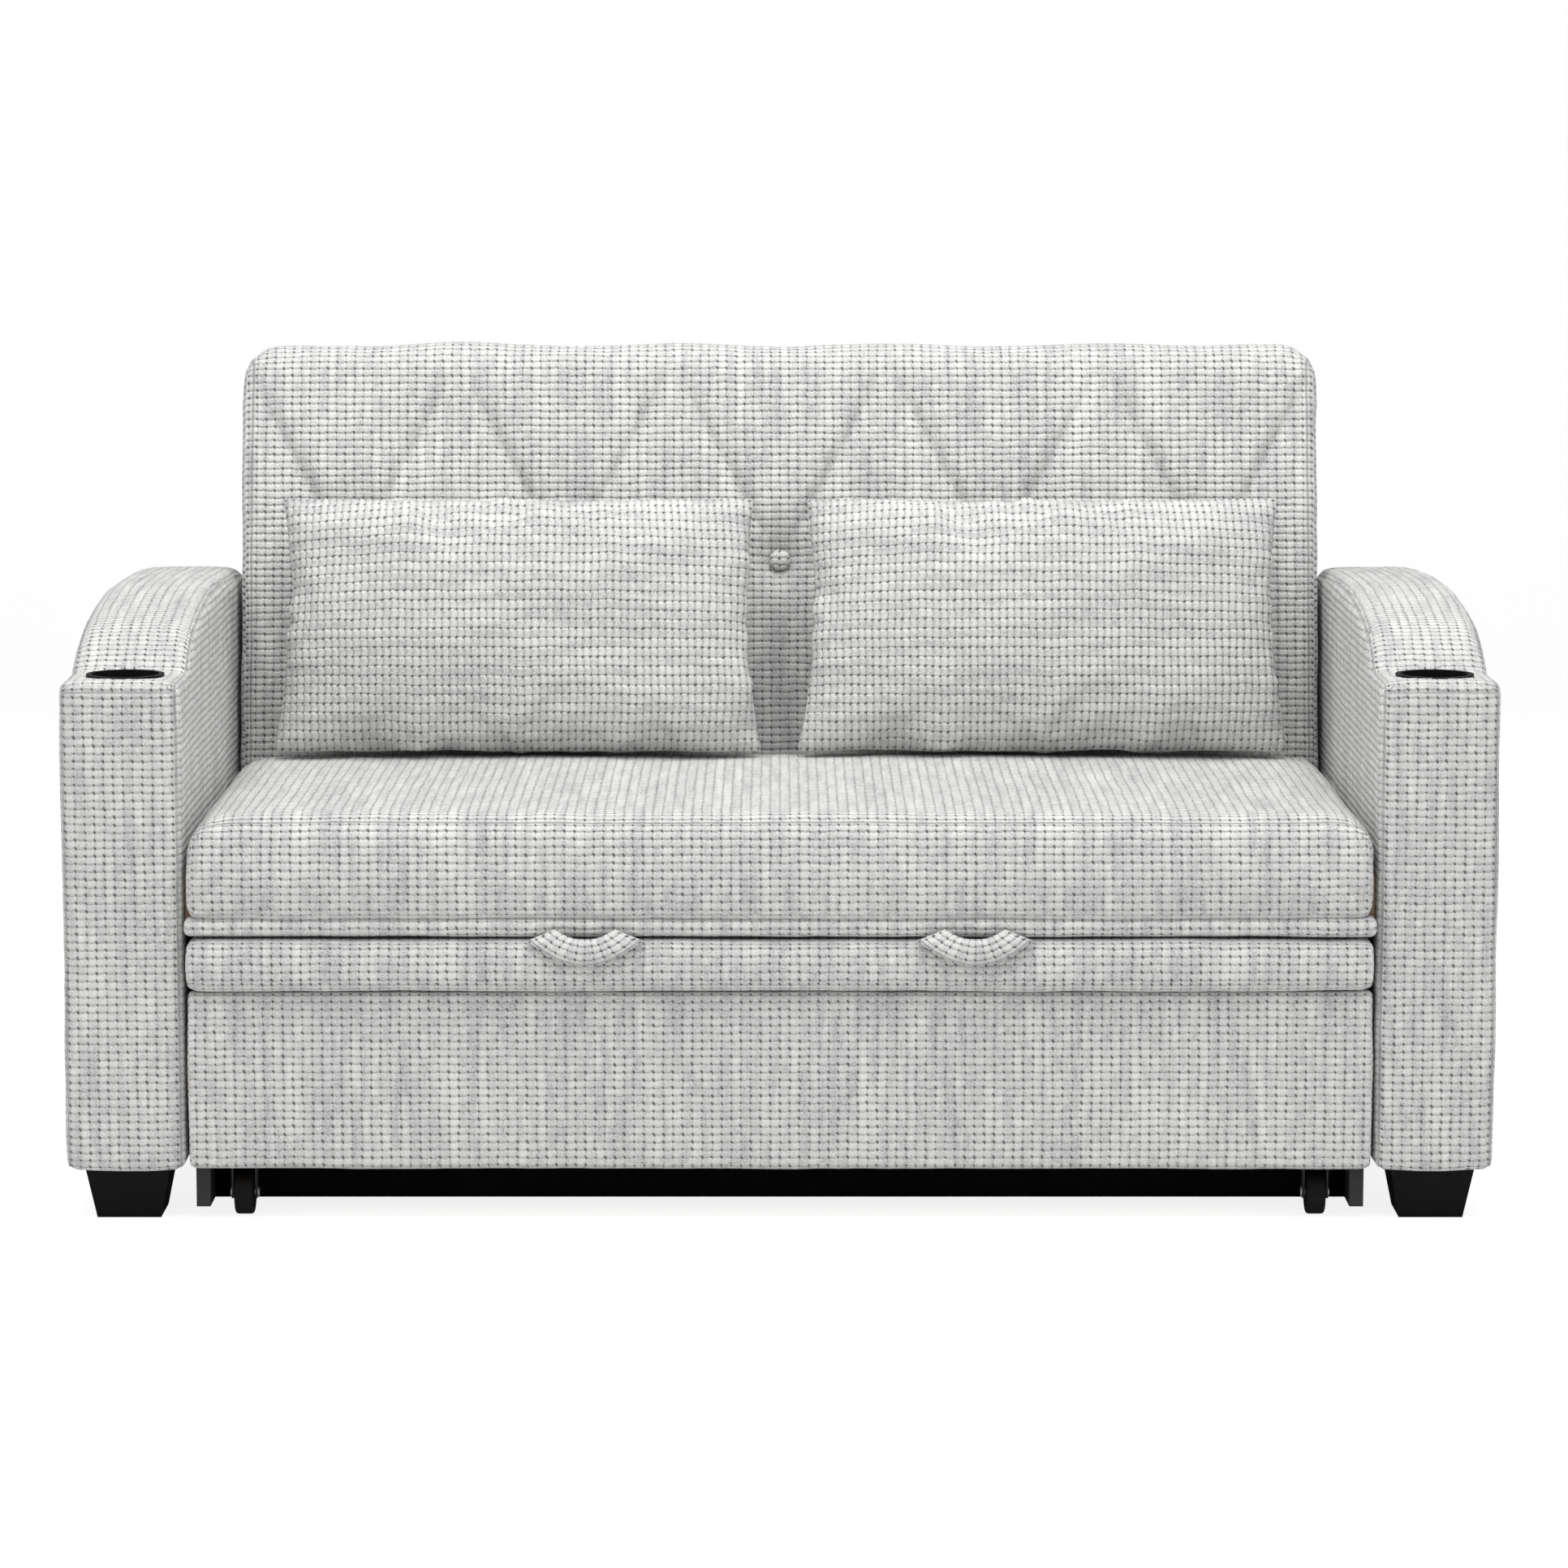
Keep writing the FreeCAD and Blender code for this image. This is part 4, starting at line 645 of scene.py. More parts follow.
SHELF_LENGTH = 0.118
SHELF_HEIGHT = 0.628
HUMP_BEND = (0.205, 0.676)
HUMP_CREST = (0.450, 0.701)
HUMP_REAR = 0.689
NOSE_RADIUS, CROWN_RADIUS, TAIL_RADIUS = 0.168, 1.213, 5.110
ARM_SEAM_SET = 0.005
SHELF_SEAM_DROP = 0.0125


def arm_outline(low, high):
    """Side outline of an arm: front, shelf, hump, rear and underside."""
    front, rear = low.y, high.y
    base = low.z
    lip, tail = 0.013, 0.03
    points = [(front + 0.004, base)]
    points += [(rear - 0.004, base), (rear, base + 0.004), (rear, HUMP_REAR - tail)]
    points += arc((rear, HUMP_REAR - tail), (rear - tail, HUMP_REAR), tail, 1)
    crest = (front + HUMP_CREST[0], HUMP_CREST[1])
    bend = (front + HUMP_BEND[0], HUMP_BEND[1])
    foot = (front + SHELF_LENGTH, SHELF_HEIGHT)
    points += arc((rear - tail, HUMP_REAR), crest, TAIL_RADIUS, 1, 0.02)
    points += arc(crest, bend, CROWN_RADIUS, 1, 0.012)
    points += arc(bend, foot, NOSE_RADIUS, 1)
    points += [foot, (front + lip, SHELF_HEIGHT)]
    points += arc((front + lip, SHELF_HEIGHT), (front, SHELF_HEIGHT - lip), lip, 1, 0.004)
    points += [(front, SHELF_HEIGHT - lip), (front, base + 0.004)]
    return points


def arm(word, side):
    """A padded arm in one cover, with seams along its side panels and under its shelf's edge."""
    low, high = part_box(f"{word}_arm_cover")
    outline = arm_outline(low, high)
    item = remeshed(prism(f"{word}_arm_upholstery", outline, low.x, high.x), 0.0055)
    places = places_of(item)
    # the hump is rounder than the crisp front
    behind_shelf = limited((places[:, 1] - low.y - SHELF_LENGTH) / 0.06)
    hump = behind_shelf * limited((places[:, 2] - 0.32) / 0.22)
    side_edges_rounded(item, outline, low.x, high.x, 0.011 + 0.012 * hump)
    relaxed(item, 4)
    places, normals = places_of(item), normals_of(item)
    middle, half = (low.x + high.x) / 2, (high.x - low.x) / 2
    across = (places[:, 0] - middle) / half
    flat = np.abs(normals[:, 0]) < 0.5
    front = normals[:, 1] < -0.7
    # the padding swells between the edges
    crown = 0.0022 * (1 - across**2) * flat
    soft = 0.0012 * waves(places, 0.16, 1 + side) + 0.0005 * waves(places, 0.045, 5 + side)
    side_seam = (1 - np.abs(across)) * half - ARM_SEAM_SET
    shelf_seam = SHELF_HEIGHT - SHELF_SEAM_DROP - places[:, 2]
    groove = SEAM_DEPTH * bell(side_seam, SEAM_WIDTH) * flat + 0.0010 * bell(shelf_seam, 0.0035) * front
    pushed(item, soft - COVER_INSET - groove + crown)
    places = places_of(item)
    places[:, 0] = np.clip(places[:, 0], low.x - 0.001, high.x + 0.001)
    set_places(item, places)
    wrap_weave(item, outline)
    nearer_shelf = front & (np.abs(shelf_seam) < np.abs(side_seam))
    seam = np.where(nearer_shelf, shelf_seam, side_seam)
    vertex_values(item, "seam", np.where(places[:, 2] > low.z + 0.004, seam, NO_SEAM))
    cup_hole(item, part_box(f"{word}_cup_holder"))
    return finished(item, "base", "sofa_fabric", f"{word}_arm_cover")


def cup_hole(item, cup):
    """Open the cover under the cup holder's flange."""
    centre = (cup[0] + cup[1]) / 2
    radius = (cup[1].x - cup[0].x) / 2
    places = places_of(item)
    flat = places[:, :2] - np.array([centre.x, centre.y])
    away = np.hypot(flat[:, 0], flat[:, 1])
    inside = (away < radius + 0.004) & (places[:, 2] > SHELF_HEIGHT - 0.012)
    # the cover is pressed flat under the flange, and sinks away inside it
    opened = away < radius - 0.004
    depth = np.where(opened, cup[0].z - 0.002, SHELF_HEIGHT - 0.0015)
    places[inside, 2] = depth[inside]
    set_places(item, places)
    work = bmesh.new()
    work.from_mesh(item.data)
    work.verts.ensure_lookup_table()
    gone = [v for v in work.verts if inside[v.index] and opened[v.index]]
    bmesh.ops.delete(work, geom=gone, context="VERTS")
    work.to_mesh(item.data)
    work.free()


# cushions


def seat():
    """The wide seat: a bulging boxed front, a top panel that drops at its sides, and seams."""
    low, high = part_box("seat_cushion")
    front, rear, under, top = low.y, high.y, low.z - 0.002, high.z
    half = (high.x - low.x) / 2
    outline = rounded_outline(
        [
            (front + 0.004, under, 0.012),
            (rear, under + 0.05, 0.0),
            (rear, top - 0.010, 0.02),
            (front + 0.012, top - 0.008, 0.030),
            (front, under + 0.050, 0.05),
        ]
    )
    item = remeshed(prism("seat_upholstery", outline, low.x, high.x), 0.0065)
    side_edges_rounded(item, outline, low.x, high.x, 0.020)
    relaxed(item, 4)
    places = places_of(item)
    across = np.abs(places[:, 0]) / half
    # the top panel falls away towards the arms
    fall = limited((across - 0.91) / 0.09)
    drop = 0.030 * (1 - np.sqrt(limited(1 - fall**2)))
    height = limited((places[:, 2] - under - 0.04) / (top - under - 0.04))
    places[:, 2] -= drop * height
    depth = limited((places[:, 1] - front) / (rear - front))
    crown = 0.006 * (1 - across**4) * np.sin(np.pi * depth) ** 0.5
    places[:, 2] += crown * height**3
    set_places(item, places)
    normals = normals_of(item)
    soft = 0.0026 * waves(places, 0.24, 11) + 0.0008 * waves(places, 0.06, 12)
    # folds fan out from the lower front corners
    corner = np.stack([half - np.abs(places[:, 0]), places[:, 2] - under - 0.006], axis=1)
    reach = np.hypot(corner[:, 0], corner[:, 1])
    angle = np.arctan2(corner[:, 1], corner[:, 0])
    pull = np.exp(-reach / 0.11) * limited(reach / 0.02) * (normals[:, 1] < -0.5)
    ridge = limited(np.sin(angle * 8 + 0.8)) * (angle < 1.2)
    folds = -0.0034 * pull * ridge
    run, _, _ = along_outline(outline, places)
    seam_run, _, _ = along_outline(outline, np.array([[0, front + 0.010, top - 0.006]]))
    seam = run - seam_run[0]
    side_seam = half - np.abs(places[:, 0]) - 0.014
    faces_up = normals[:, 2] > 0.3
    groove = SEAM_DEPTH * bell(seam, SEAM_WIDTH) * (across < 0.985)
    groove += 0.0010 * bell(side_seam, SEAM_WIDTH) * faces_up
    pushed(item, soft + folds - groove - CUSHION_INSET)
    wrap_weave(item, outline)
    top_side = faces_up & (np.abs(seam) > 0.01)
    vertex_values(item, "seam", np.where(top_side, side_seam, seam))
    # painted shade gathers where the cover is drawn under, and along the folds
    tuck = np.exp(-((places[:, 2] - under - 0.004) / 0.006)) * (places[:, 2] < under + 0.05)
    vertex_values(item, "painted_shade", np.clip(0.35 * tuck + 60 * np.abs(folds), 0, 0.6))
    return finished(item, "base", "sofa_fabric", "seat_cushion")


def strip(
    name, node, body, corner, voxel, bulge, seed, end_round=0.008, aside=0, behind=0, below=0, above=0
):
    """A padded strip, bulging a little at the front. Its fabric may reach further aside, behind,
    below and above than its solid, over the boards behind it."""
    low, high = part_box(node)
    low = low - Vector((aside, 0, below))
    high = high + Vector((aside, behind, above))
    top = high.z
    corners = [(low.y, low.z), (high.y, low.z), (high.y, top), (low.y, top)]
    outline = rounded_outline([(y, z, corner) for y, z in corners], 0.006)
    item = remeshed(prism(name, outline, low.x, high.x), voxel)
    side_edges_rounded(item, outline, low.x, high.x, end_round)
    relaxed(item, 3)
    places, normals = places_of(item), normals_of(item)
    tall = limited((places[:, 2] - low.z) / (top - low.z))
    swell = bulge * (np.sin(np.pi * tall) - 0.5) * (normals[:, 1] < -0.3)
    soft = 0.0013 * waves(places, 0.2, seed) + 0.0005 * waves(places, 0.05, seed + 1)
    pushed(item, swell + soft - CUSHION_INSET)
    wrap_weave(item, outline)
    # painted shade gathers along the lower and upper edges
    ends = np.minimum(places[:, 2] - low.z, top - places[:, 2])
    vertex_values(item, "painted_shade", 0.35 * np.exp(-limited(ends) / 0.003))
    return finished(item, body, "sofa_fabric", node)


# backrest

LEAN = math.radians(12)
HINGE = Vector((0.0, 0.2345, 0.427))
BUTTON_STEPS = (-2, -1, 0, 1, 2)
BUTTON_PITCH = 0.271
BUTTON_HEIGHT = 0.280
BACK_LENGTH = 0.560
PLEAT_TOP = 0.535
CREASE_FOOT = 0.02


def leaned(places):
    """Carry points from the backrest's own frame, about its hinge, into the sofa's."""
    y = places[:, 1] * math.cos(LEAN) + places[:, 2] * math.sin(LEAN)
    z = -places[:, 1] * math.sin(LEAN) + places[:, 2] * math.cos(LEAN)
    return np.stack([places[:, 0], y + HINGE.y, z + HINGE.z], axis=1)


def upright(places):
    """The other way round: points of the sofa in the backrest's own frame."""
    y, z = places[:, 1] - HINGE.y, places[:, 2] - HINGE.z
    return np.stack(
        [
            places[:, 0],
            y * math.cos(LEAN) - z * math.sin(LEAN),
            y * math.sin(LEAN) + z * math.cos(LEAN),
        ],
        axis=1,
    )


def line_distance(places, start, end):
    """Signed distance in x and height from a line, and how far along it each place is."""
    start, end = np.array(start), np.array(end)
    length = np.hypot(*(end - start))
    along = (end - start) / length
    away = places[:, [0, 2]] - start
    beside = away[:, 0] * along[1] - away[:, 1] * along[0]
    return beside, away @ along / length


def tufts(places):
    """How deep the buttons and pleats draw the front face in, and how much painted shade lies on them."""
    depth = np.zeros(len(places))
    shade = np.zeros(len(places))
    for k in BUTTON_STEPS:
        x = k * BUTTON_PITCH
        away = np.hypot(places[:, 0] - x, (places[:, 2] - BUTTON_HEIGHT) * 1.1)
        depth = np.maximum(depth, 0.024 * np.exp(-((away / 0.036) ** 1.3)))
        # painted shade in each button's hollow
        shade = np.maximum(shade, 0.7 * bell(away, 0.016))
        for toward in (-1, 1):
            end = (x + toward * BUTTON_PITCH / 2, PLEAT_TOP)
            beside, share = line_distance(places, (x, BUTTON_HEIGHT), end)
            beside = beside * toward
            on_line = limited(share / 0.08) * limited((1.04 - share) / 0.35)
            gentle = np.where(beside > 0, 0.022, 0.006)
            fold = np.exp(-np.abs(beside) / gentle) * on_line * (share > -0.05)
            depth = np.maximum(depth, 0.0084 * fold * (1.2 - 0.5 * limited(share)))
            # painted shade along each pleat's fold
            shade = np.maximum(shade, 0.36 * bell(beside, 0.0034) * on_line)
        # a soft crease runs down from each button, with painted shade that deepens lower down
        beside, share = line_distance(places, (x, BUTTON_HEIGHT), (x, CREASE_FOOT))
        on_line = limited(share / 0.1) * limited((0.95 - share) / 0.5)
        depth = np.maximum(depth, 0.005 * np.exp(-np.abs(beside) / 0.016) * on_line)
        low_down = limited(share / 0.6) * (share < 1.2)
        shade = np.maximum(shade, 0.60 * bell(beside, 0.026) * low_down)
    return depth, shade


def back():
    """The tufted backrest cushion: crowned front, rounded top corners and boxed sides."""
    low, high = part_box("back_cushion")
    half = (high.x - low.x) / 2
    front, rear = -0.0545, 0.0895
    bottom, top = -0.05, BACK_LENGTH
    outline = rounded_outline(
        [
            (front + 0.018, bottom + 0.006, 0.03),
            (rear, bottom + 0.002, 0.008),
            (rear, top, 0.016),
            (front + 0.004, top, 0.040),
        ]
    )
    item = remeshed(prism("back_upholstery", outline, -half, half), 0.0055)
    side_edges_rounded(item, outline, -half, half, 0.018)
    places = places_of(item)
    set_places(item, corners_rounded(places, half, top, 0.050))
    relaxed(item, 4)
    places = places_of(item)
    near_corner = (np.abs(places[:, 0]) > half - 0.075) & (places[:, 2] > top - 0.075)
    relaxed(item, 14, near_corner * 1.0)
    places, normals = places_of(item), normals_of(item)
    faces_front = limited((-normals[:, 1] - 0.2) / 0.5)
    depth, shade = tufts(places)
    across = np.abs(places[:, 0]) / half
    tall = limited((places[:, 2] - bottom) / (top - bottom))
    crown = 0.004 * (1 - across**6) * np.sin(np.pi * tall) ** 0.6
    soft = 0.0022 * waves(places, 0.17, 21) + 0.0007 * waves(places, 0.045, 22)
    side_seam = half - np.abs(places[:, 0]) - 0.0135
    groove = SEAM_DEPTH * bell(side_seam, SEAM_WIDTH)
    # the top edge swells between the pleats
    top_swell = 0.002 * np.cos(places[:, 0] / BUTTON_PITCH * 2 * np.pi + np.pi)
    top_swell *= (normals[:, 2] > 0.6) * (tall > 0.9)
    pushed(item, (crown - depth - groove) * faces_front + soft + top_swell - COVER_INSET)
    wrap_weave(item, outline)
    vertex_values(item, "seam", side_seam)
    # the tufts' painted shade, on the front face only
    vertex_values(item, "painted_shade", shade * faces_front)
    set_places(item, leaned(places_of(item)))
    return finished(item, "backrest", "sofa_fabric", "back_cushion")


def corners_rounded(places, half, top, corner):
    """Round both upper corners as seen from the front."""
    places = places.copy()
    x_in, z_in = half - corner, top - corner
    over_x, over_z = np.abs(places[:, 0]) - x_in, places[:, 2] - z_in
    both = (over_x > 0) & (over_z > 0)
    span = np.hypot(over_x, over_z)
    share = np.where(both, np.maximum(over_x, over_z) / np.maximum(span, 1e-9), 1)
    places[:, 0] = np.where(both, np.sign(places[:, 0]) * (x_in + over_x * share), places[:, 0])
    places[:, 2] = np.where(both, z_in + over_z * share, places[:, 2])
    return places


def buttons():
    """Five covered buttons, domed, with the fabric drawn tight to their backs."""
    vertices = []
    faces = []
    rings, spokes = 7, 28
    radius, dome = 0.0135, 0.0062
    seat_y = -0.0345
    for k in BUTTON_STEPS:
        first = len(vertices)
        vertices.append((k * BUTTON_PITCH, seat_y - dome, BUTTON_HEIGHT))
        for ring in range(1, rings + 1):
            lean_angle = ring / rings * math.pi * 0.62
            # the last ring is drawn in behind the widest one
            reach = radius * math.sin(lean_angle if ring == rings else min(lean_angle, math.pi / 2))
            forward = dome * math.cos(lean_angle)
            for spoke in range(spokes):
                turn = 2 * math.pi * spoke / spokes
                pucker = 1 + 0.03 * math.cos(turn * 7) * (ring / rings) ** 2
                x = k * BUTTON_PITCH + reach * pucker * math.cos(turn)
                vertices.append((x, seat_y - forward, BUTTON_HEIGHT + reach * pucker * math.sin(turn)))
        for spoke in range(spokes):
            after = (spoke + 1) % spokes
            faces.append((first, first + 1 + after, first + 1 + spoke))
            for ring in range(rings - 1):
                a = first + 1 + ring * spokes
                faces.append((a + spoke, a + after, a + spokes + after, a + spokes + spoke))
        last = first + 1 + (rings - 1) * spokes
        faces.append(tuple(last + s for s in range(spokes)))
    item = facing_out(mesh_object("covered_buttons", vertices, faces))
    box_weave(item)
    set_places(item, leaned(places_of(item)))
    return finished(item, "backrest", "sofa_fabric", "back_buttons")


def rear_panel():
    """The upholstered panel below the backrest, its fabric drawn over its board."""
    low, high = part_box("rear_panel_cover")
    board_low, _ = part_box("rear_panel_board")
    front, under, top = board_low.y - 0.001, low.z - 0.001, high.z + 0.001
    outline = rounded_outline(
        [(front, under, 0.003), (high.y, under, 0.004), (high.y, top, 0.006), (front, top, 0.004)]
    )
    half = high.x - 0.0004
    item = remeshed(prism("rear_panel_fabric", outline, -half, half), 0.006)
    relaxed(item, 2)
    places = places_of(item)
    soft = 0.0014 * waves(places, 0.2, 63) + 0.0005 * waves(places, 0.05, 64)
    pushed(item, soft - 0.0004)
    wrap_weave(item, outline)
    vertex_values(item, "seam", top - places[:, 2] - 0.012)
    return finished(item, "base", "sofa_fabric", "rear_panel_cover")


def back_cover():
    """The backrest's rear fabric: one taut sheet, cut out round the hinges, with a turned edge."""
    solid = upright(places_of(frame["nodes"]["back_cover"]))
    low, high = solid.min(axis=0), solid.max(axis=0)
    half, front, rear = high[0], low[1], high[1]
    notch_width, notch_top, corner = 0.032, 0.030, 0.036
    step_at = half - notch_width
    across = np.concatenate(
        [
            np.linspace(-half, -step_at, 8),
            np.linspace(-step_at + 0.0004, step_at - 0.0004, 200),
            np.linspace(step_at, half, 8),
        ]
    )
    bottom = np.where(np.abs(across) >= step_at - 1e-6, notch_top, low[2])
    over = np.clip(np.abs(across) - (half - corner), 0, corner)
    top = high[2] - corner + np.sqrt(corner**2 - over**2)
    up = np.linspace(0, 1, 84)
    x = np.repeat(across, len(up))
    z = (bottom[:, None] + (top - bottom)[:, None] * up).ravel()
    edge = np.minimum(half - np.abs(x), np.minimum(z - np.repeat(bottom, len(up)), high[2] - z))
    turned = 0.0022 * limited(1 - edge / 0.004) ** 2
    flat = np.stack([x, np.zeros_like(x), z], axis=1)
    taut = 0.0012 * waves(flat, 0.19, 61) * limited(edge / 0.03)
    outer = np.stack([x, rear - turned + taut - 0.0004, z], axis=1)
    inner = np.stack([x, np.full_like(x, front + 0.0005), z], axis=1)
    faces = two_sheets(len(across) - 1, len(up) - 1)
    item = facing_out(mesh_object("back_cover_fabric", np.concatenate([outer, inner]), faces))
    box_weave(item)
    vertex_values(item, "seam", np.tile(edge - 0.014, 2))
    set_places(item, leaned(places_of(item)))
    return finished(item, "backrest", "sofa_fabric", "back_cover")


# pull loops


def pull_loop(word):
    """A wide fabric strap whose ends are tucked into the gap, so that it bows forward."""
    low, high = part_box(f"{word}_pull_loop")
    centre = (low.x + high.x) / 2
    tucked, bow = high.y - 0.0005, high.y - low.y
    inner_reach, outer_reach = 0.033, 0.066
    ear, dip, groove, sag = high.z, high.z - 0.010, 0.3325, high.z - 0.041
    thickness, hem_place = 0.0032, 0.93
    half_length, width = 0.058, 0.036
    columns, rows = 64, 20
    vertices = []
    weave = []
    for layer in (0, 1):
        for i in range(columns + 1):
            s = -1 + 2 * i / columns
            upper = (inner_reach * s, dip + (ear - dip) * abs(s) ** 2.4)
            lower = (outer_reach * s, sag + (groove - sag) * abs(s) ** 1.9)
            for j in range(rows + 1):
                t = j / rows
                x = upper[0] + (lower[0] - upper[0]) * t
                z = upper[1] + (lower[1] - upper[1]) * t
                out = bow * (1 - s * s) ** 0.75 * (0.80 + 0.20 * math.sin(math.pi * t * 0.8))
                roll = 0.0022 * (1 - abs(2 * t - 1) ** 3)
                hem = 0.0014 * max(0.0, 1 - abs(t - hem_place) / 0.05)
                y = tucked - out - (roll - hem if layer == 0 else 0)
                y += thickness * (abs(2 * t - 1) ** 4 * 0.2 + 0.8) if layer else 0
                vertices.append((centre + x, max(low.y - 0.002, min(y, tucked + 0.002)), z))
                weave.append((s * half_length, width * t))
    faces = two_sheets(columns, rows)
    item = facing_out(mesh_object(f"{word}_pull_strap", vertices, faces))
    vertex, _ = corner_tables(item)
    weave = np.array(weave)
    weave_map(item, weave[vertex, 0], weave[vertex, 1])
    t = np.tile(np.arange(rows + 1) / rows, 2 * (columns + 1))
    vertex_values(item, "seam", (t - hem_place) * width)
    return finished(item, "trolley", "sofa_fabric", f"{word}_pull_loop")


# pillows

PILLOW_LENGTH, PILLOW_HEIGHT, PILLOW_THICKNESS = 0.590, 0.320, 0.126
PILLOW_OFFSET, PILLOW_BASE = 0.326, 0.0285
BACK_FACE = -0.0563
# one cell of the sheets that a pillow is blown up from
PILLOW_GRID = 0.0095
LAST_FRAME = 30
CLOTH = {
    "quality": 6,
    "mass": 0.25,
    "tension_stiffness": 28,
    "compression_stiffness": 22,
    "shear_stiffness": 12,
    "bending_stiffness": 0.9,
    "tension_damping": 8,
    "air_damping": 3,
    "use_pressure": True,
    "uniform_pressure_force": 4.5,
    "shrink_min": -0.03,
}


def flat_pillow(name, length, height):
    """Two sheets sewn at their rim, to be blown up."""
    columns, rows = int(length / PILLOW_GRID), int(height / PILLOW_GRID)
    vertices = []
    index = {}
    for layer in (-1, 1):
        for i in range(columns + 1):
            for j in range(rows + 1):
                rim = i in (0, columns) or j in (0, rows)
                if rim and layer == 1:
                    index[layer, i, j] = index[-1, i, j]
                    continue
                u, v = 2 * i / columns - 1, 2 * j / rows - 1
                puff = 0 if rim else layer * (0.002 + 0.012 * (1 - u**4) * (1 - v**4))
                index[layer, i, j] = len(vertices)
                vertices.append((u * length / 2, puff, v * height / 2))
    faces = []
    for layer in (-1, 1):
        for i in range(columns):
            for j in range(rows):
                around = ((i, j), (i + 1, j), (i + 1, j + 1), (i, j + 1))
                quad = [index[(layer, *place)] for place in around[::-layer]]
                faces.append(quad)
    return mesh_object(name, vertices, faces)


def blown(item):
    """Let the sheets fill under pressure as cloth, then keep the result."""
    change = item.modifiers.new("cloth", "CLOTH")
    for word, value in CLOTH.items():
        setattr(change.settings, word, value)
    change.settings.effector_weights.gravity = 0
    change.collision_settings.use_collision = False
    scene = bpy.context.scene
    scene.frame_start = 1
    scene.frame_end = LAST_FRAME
    for number in range(1, LAST_FRAME + 1):
        scene.frame_set(number)
        bpy.context.view_layer.update()
    return baked(item)


def rim_drawn(places, u, v, length, height):
    """Bring a blown form's sewn rim to the photographed outline: nearly a rectangle, with its
    sides drawn in and its lower corners spread on the seat. Each place has its u and v from
    -1 to 1 over the sheets."""
    side_draw, top_draw, bottom_draw, ear = 0.016, 0.004, 0.001, 0.010

    def goal(u, v):
        spread = 1 + ear / length * (1 - v)
        x = length / 2 * u * spread - side_draw * np.sign(u) * np.abs(u) ** 6 * (1 - v**2) ** 0.8
        draw = np.where(v > 0, top_draw, bottom_draw)
        z = height / 2 * v - np.sign(v) * draw * np.abs(v) ** 6 * (1 - u**2)
        return np.stack([x, z], axis=1)

    inside = 1 - 1e-4
    rim = np.maximum(np.abs(u), np.abs(v)) > inside
    moved = goal(u[rim], v[rim]) - places[rim][:, [0, 2]]
    rim_u, rim_v = u[rim], v[rim]

    def along(edge, key, at):
        order = np.argsort(key[edge])
        line, step = key[edge][order], moved[edge][order]
        return np.stack([np.interp(at, line, step[:, k]) for k in (0, 1)], axis=1)

    top, bottom, right, left = rim_v > inside, rim_v < -inside, rim_u > inside, rim_u < -inside
    s, t = ((u + 1) / 2)[:, None], ((v + 1) / 2)[:, None]
    whole = (1 - t) * along(bottom, rim_u, u) + t * along(top, rim_u, u)
    whole += (1 - s) * along(left, rim_v, v) + s * along(right, rim_v, v)
    end = np.ones(1)
    whole -= (1 - s) * (1 - t) * along(bottom, rim_u, -end) + s * (1 - t) * along(bottom, rim_u, end)
    whole -= (1 - s) * t * along(top, rim_u, -end) + s * t * along(top, rim_u, end)
    places[:, [0, 2]] += whole


def pillow(word, side):
    """A loose cushion, blown up as cloth, with gathered corners and drawn-in sides."""
    item = flat_pillow(f"{word}_throw_pillow", PILLOW_LENGTH * 1.04, PILLOW_HEIGHT * 1.07)
    flat = places_of(item)
    u, v = (flat[:, axis] / np.abs(flat[:, axis]).max() for axis in (0, 2))
    blown(item)
    places = places_of(item)
    places -= (places.max(axis=0) + places.min(axis=0)) / 2
    rim_drawn(places, u, v, PILLOW_LENGTH + 0.004, PILLOW_HEIGHT)
    # a fuller form towards its rim, as thick as its solid
    rise = limited((1 - u**6) * (1 - v**4)) ** 0.5
    swell = places[:, 1] / np.abs(places[:, 1]).max()
    places[:, 1] = PILLOW_THICKNESS / 2 * (0.62 * swell + 0.38 * np.sign(flat[:, 1]) * rise)
    # puckers along the sewn rim, longest at the gathered corners
    near = bell(1 - np.maximum(np.abs(u), np.abs(v)), 0.12)
    phase = np.where(np.abs(u) > np.abs(v), places[:, 2] / 0.026, places[:, 0] / 0.034)
    uneven = waves(places, 0.08, 31 + side)
    pucker = near * (0.0016 + 0.0012 * np.abs(u * v)) * np.sin(2 * np.pi * phase + 4 * uneven)
    places[:, 1] += np.sign(places[:, 1]) * pucker
    set_places(item, places)
    vertex, _ = corner_tables(item)
    thread = 0.2 * flat + 0.8 * places
    weave_map(item, thread[vertex, 0], thread[vertex, 2], swap=True)
    # painted shade in the puckers' hollows
    vertex_values(item, "painted_shade", np.clip(-260 * pucker * near, 0, 0.45))
    subdivided(item)
    places = places_of(item)
    pushed(item, 0.0026 * waves(places, 0.12, 41 + side) + 0.0010 * waves(places, 0.045, 43 + side))
    places = places_of(item)
    # the rear rests flat on the backrest
    places[:, 1] = np.minimum(places[:, 1], PILLOW_THICKNESS / 2)
    places[:, 0] += side * PILLOW_OFFSET
    places[:, 1] += BACK_FACE - 0.0003 - PILLOW_THICKNESS / 2
    places[:, 2] += PILLOW_BASE + PILLOW_HEIGHT / 2
    set_places(item, leaned(places))
    return finished(item, f"{word}_pillow_body", "pillow_fabric", f"{word}_pillow")


# the whole sofa

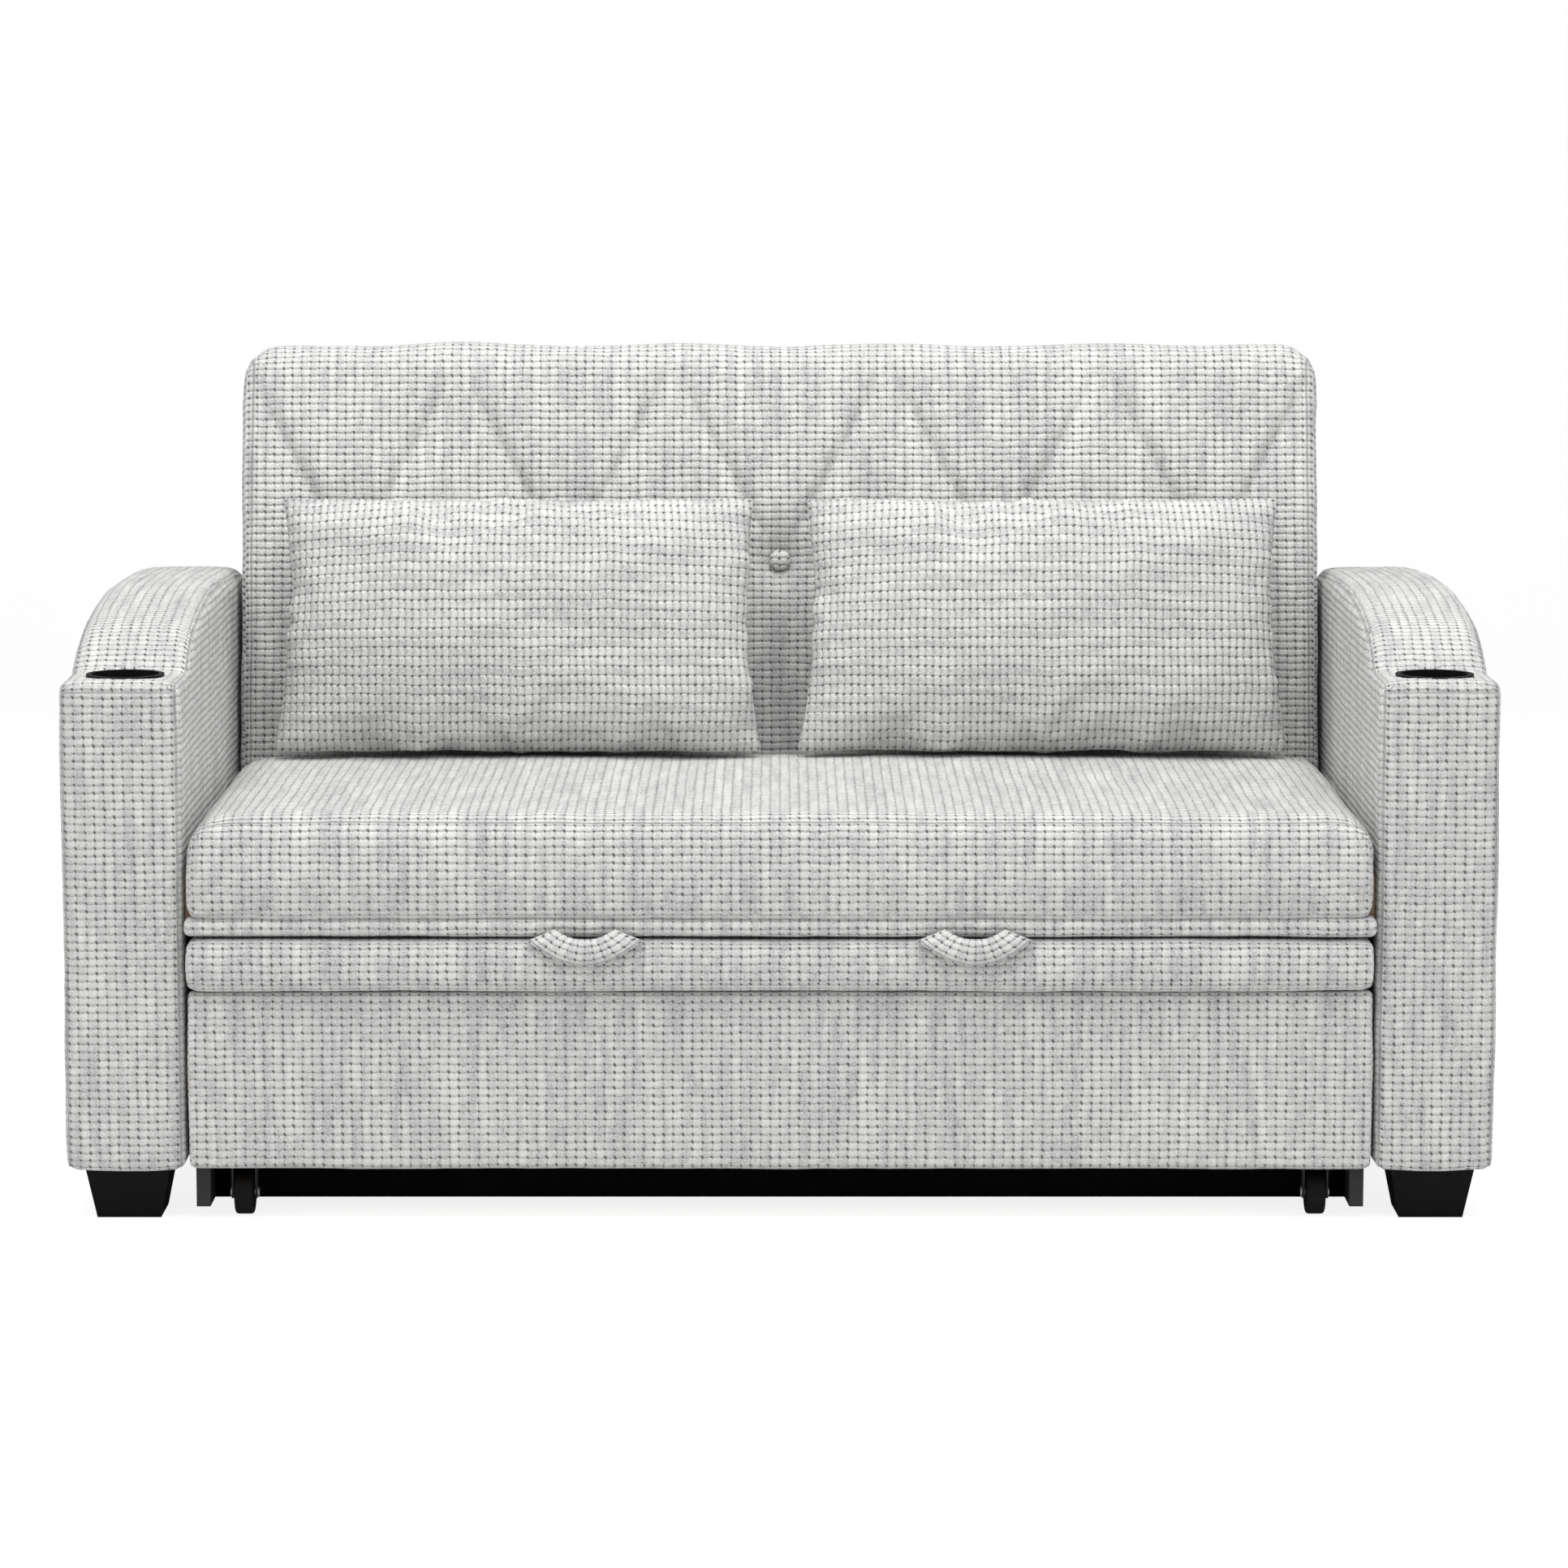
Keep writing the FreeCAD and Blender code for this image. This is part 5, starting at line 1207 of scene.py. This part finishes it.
for word, side in SIDES.items():
    arm(word, side)
seat()
rail = strip(
    "seat_rail_upholstery", "seat_front_rail", "base",
    corner=0.004, voxel=0.004, bulge=0.0022, seed=51, aside=0.0022, behind=0.012, above=0.006,
)
mattress = strip(
    "platform_upholstery", "platform_cushion", "trolley",
    corner=0.010, voxel=0.0065, bulge=0.0035, seed=53, end_round=0.014,
)
front = strip(
    "front_panel_upholstery", "front_panel", "trolley",
    corner=0.005, voxel=0.0055, bulge=0.0025, seed=55,
    aside=0.0008, behind=0.0145, below=0.0012, above=0.0035,
)
back()
buttons()
back_cover()
rear_panel()
for word, side in SIDES.items():
    pull_loop(word)
    pillow(word, side)


# studio

FLOOR_NEAR, FLOOR_FAR, BACKDROP_TOP, FLOOR_REACH = -9.0, 5.0, 9.0, 14.0
SWEEP = 2.0
# how much of the floor the camera sees as plain white, over which the shadow stays visible
WHITE_SHARE = 0.66


def floor():
    """A pale floor that curves up into a pale backdrop far behind."""
    points = [(FLOOR_NEAR, 0.0), (FLOOR_FAR, 0.0)]
    for angle in np.linspace(0.1, math.pi / 2, 12):
        points.append((FLOOR_FAR + SWEEP * math.sin(angle), SWEEP * (1 - math.cos(angle))))
    points.append((FLOOR_FAR + SWEEP, BACKDROP_TOP))
    vertices = [(x, y, z) for y, z in points for x in (-FLOOR_REACH, FLOOR_REACH)]
    faces = [(2 * i, 2 * i + 1, 2 * i + 3, 2 * i + 2) for i in range(len(points) - 1)]
    item = mesh_object("studio_floor", vertices, faces)
    smooth_shaded(item)
    n = Nodes("studio_white")
    n.set(Base_Color=grey(0.86), Roughness=0.9)
    path = n.add("LightPath")
    white = n.add("Emission")
    white.inputs["Strength"].default_value = 1.30
    tones = n.add("MixShader")
    n.wire(tones.inputs[0], n.times(path.outputs["Is Camera Ray"], WHITE_SHARE))
    n.wire(tones.inputs[1], n.shader.outputs[0])
    n.wire(tones.inputs[2], white.outputs[0])
    n.wire(n.tree.nodes["Material Output"].inputs[0], tones.outputs[0])
    item.data.materials.append(n.material)


def lamp(name, place, target, size, watts):
    """A soft rectangular light that looks at its target."""
    data = bpy.data.lights.new(name, "AREA")
    data.shape = "RECTANGLE"
    data.size, data.size_y = size
    data.energy = watts
    item = placed(name, data)
    item.location = place
    item.rotation_euler = (Vector(target) - Vector(place)).to_track_quat("-Z", "Y").to_euler()


def studio():
    floor()
    lamp("top_light", place=(0, -0.9, 3.5), target=(0, 0, 0.4), size=(4.2, 3.0), watts=138)
    lamp("front_light", place=(0, -5.2, 3.6), target=(0, 0, 0.5), size=(5.0, 2.2), watts=43)
    for word, side in SIDES.items():
        place = (side * 4.2, -2.2, 2.0)
        lamp(f"{word}_light", place, target=(0, 0, 0.5), size=(2.2, 2.2), watts=36)
    world = bpy.data.worlds.new("studio_world")
    world.use_nodes = True
    tree = world.node_tree
    around = tree.nodes["Background"]
    around.inputs[0].default_value = (1, 1, 1, 1)
    path = tree.nodes.new("ShaderNodeLightPath")
    strength = tree.nodes.new("ShaderNodeMapRange")
    tree.links.new(path.outputs["Is Camera Ray"], strength.inputs[0])
    strength.inputs[3].default_value = 0.25
    strength.inputs[4].default_value = 1.0
    tree.links.new(strength.outputs[0], around.inputs[1])
    bpy.context.scene.world = world
    bpy.context.scene.view_settings.view_transform = "Standard"


def camera():
    data = bpy.data.cameras.new("photo_camera")
    data.sensor_width = SENSOR
    data.lens = FOCAL_PIXELS / PHOTO_SIDE * SENSOR
    data.shift_x = CENTRE_OFFSET / PHOTO_SIDE
    item = placed("photo_camera", data)
    item.location = CAMERA_PLACE
    item.rotation_euler = (math.pi / 2 - CAMERA_PITCH, 0, 0)
    bpy.context.scene.camera = item


studio()
camera()
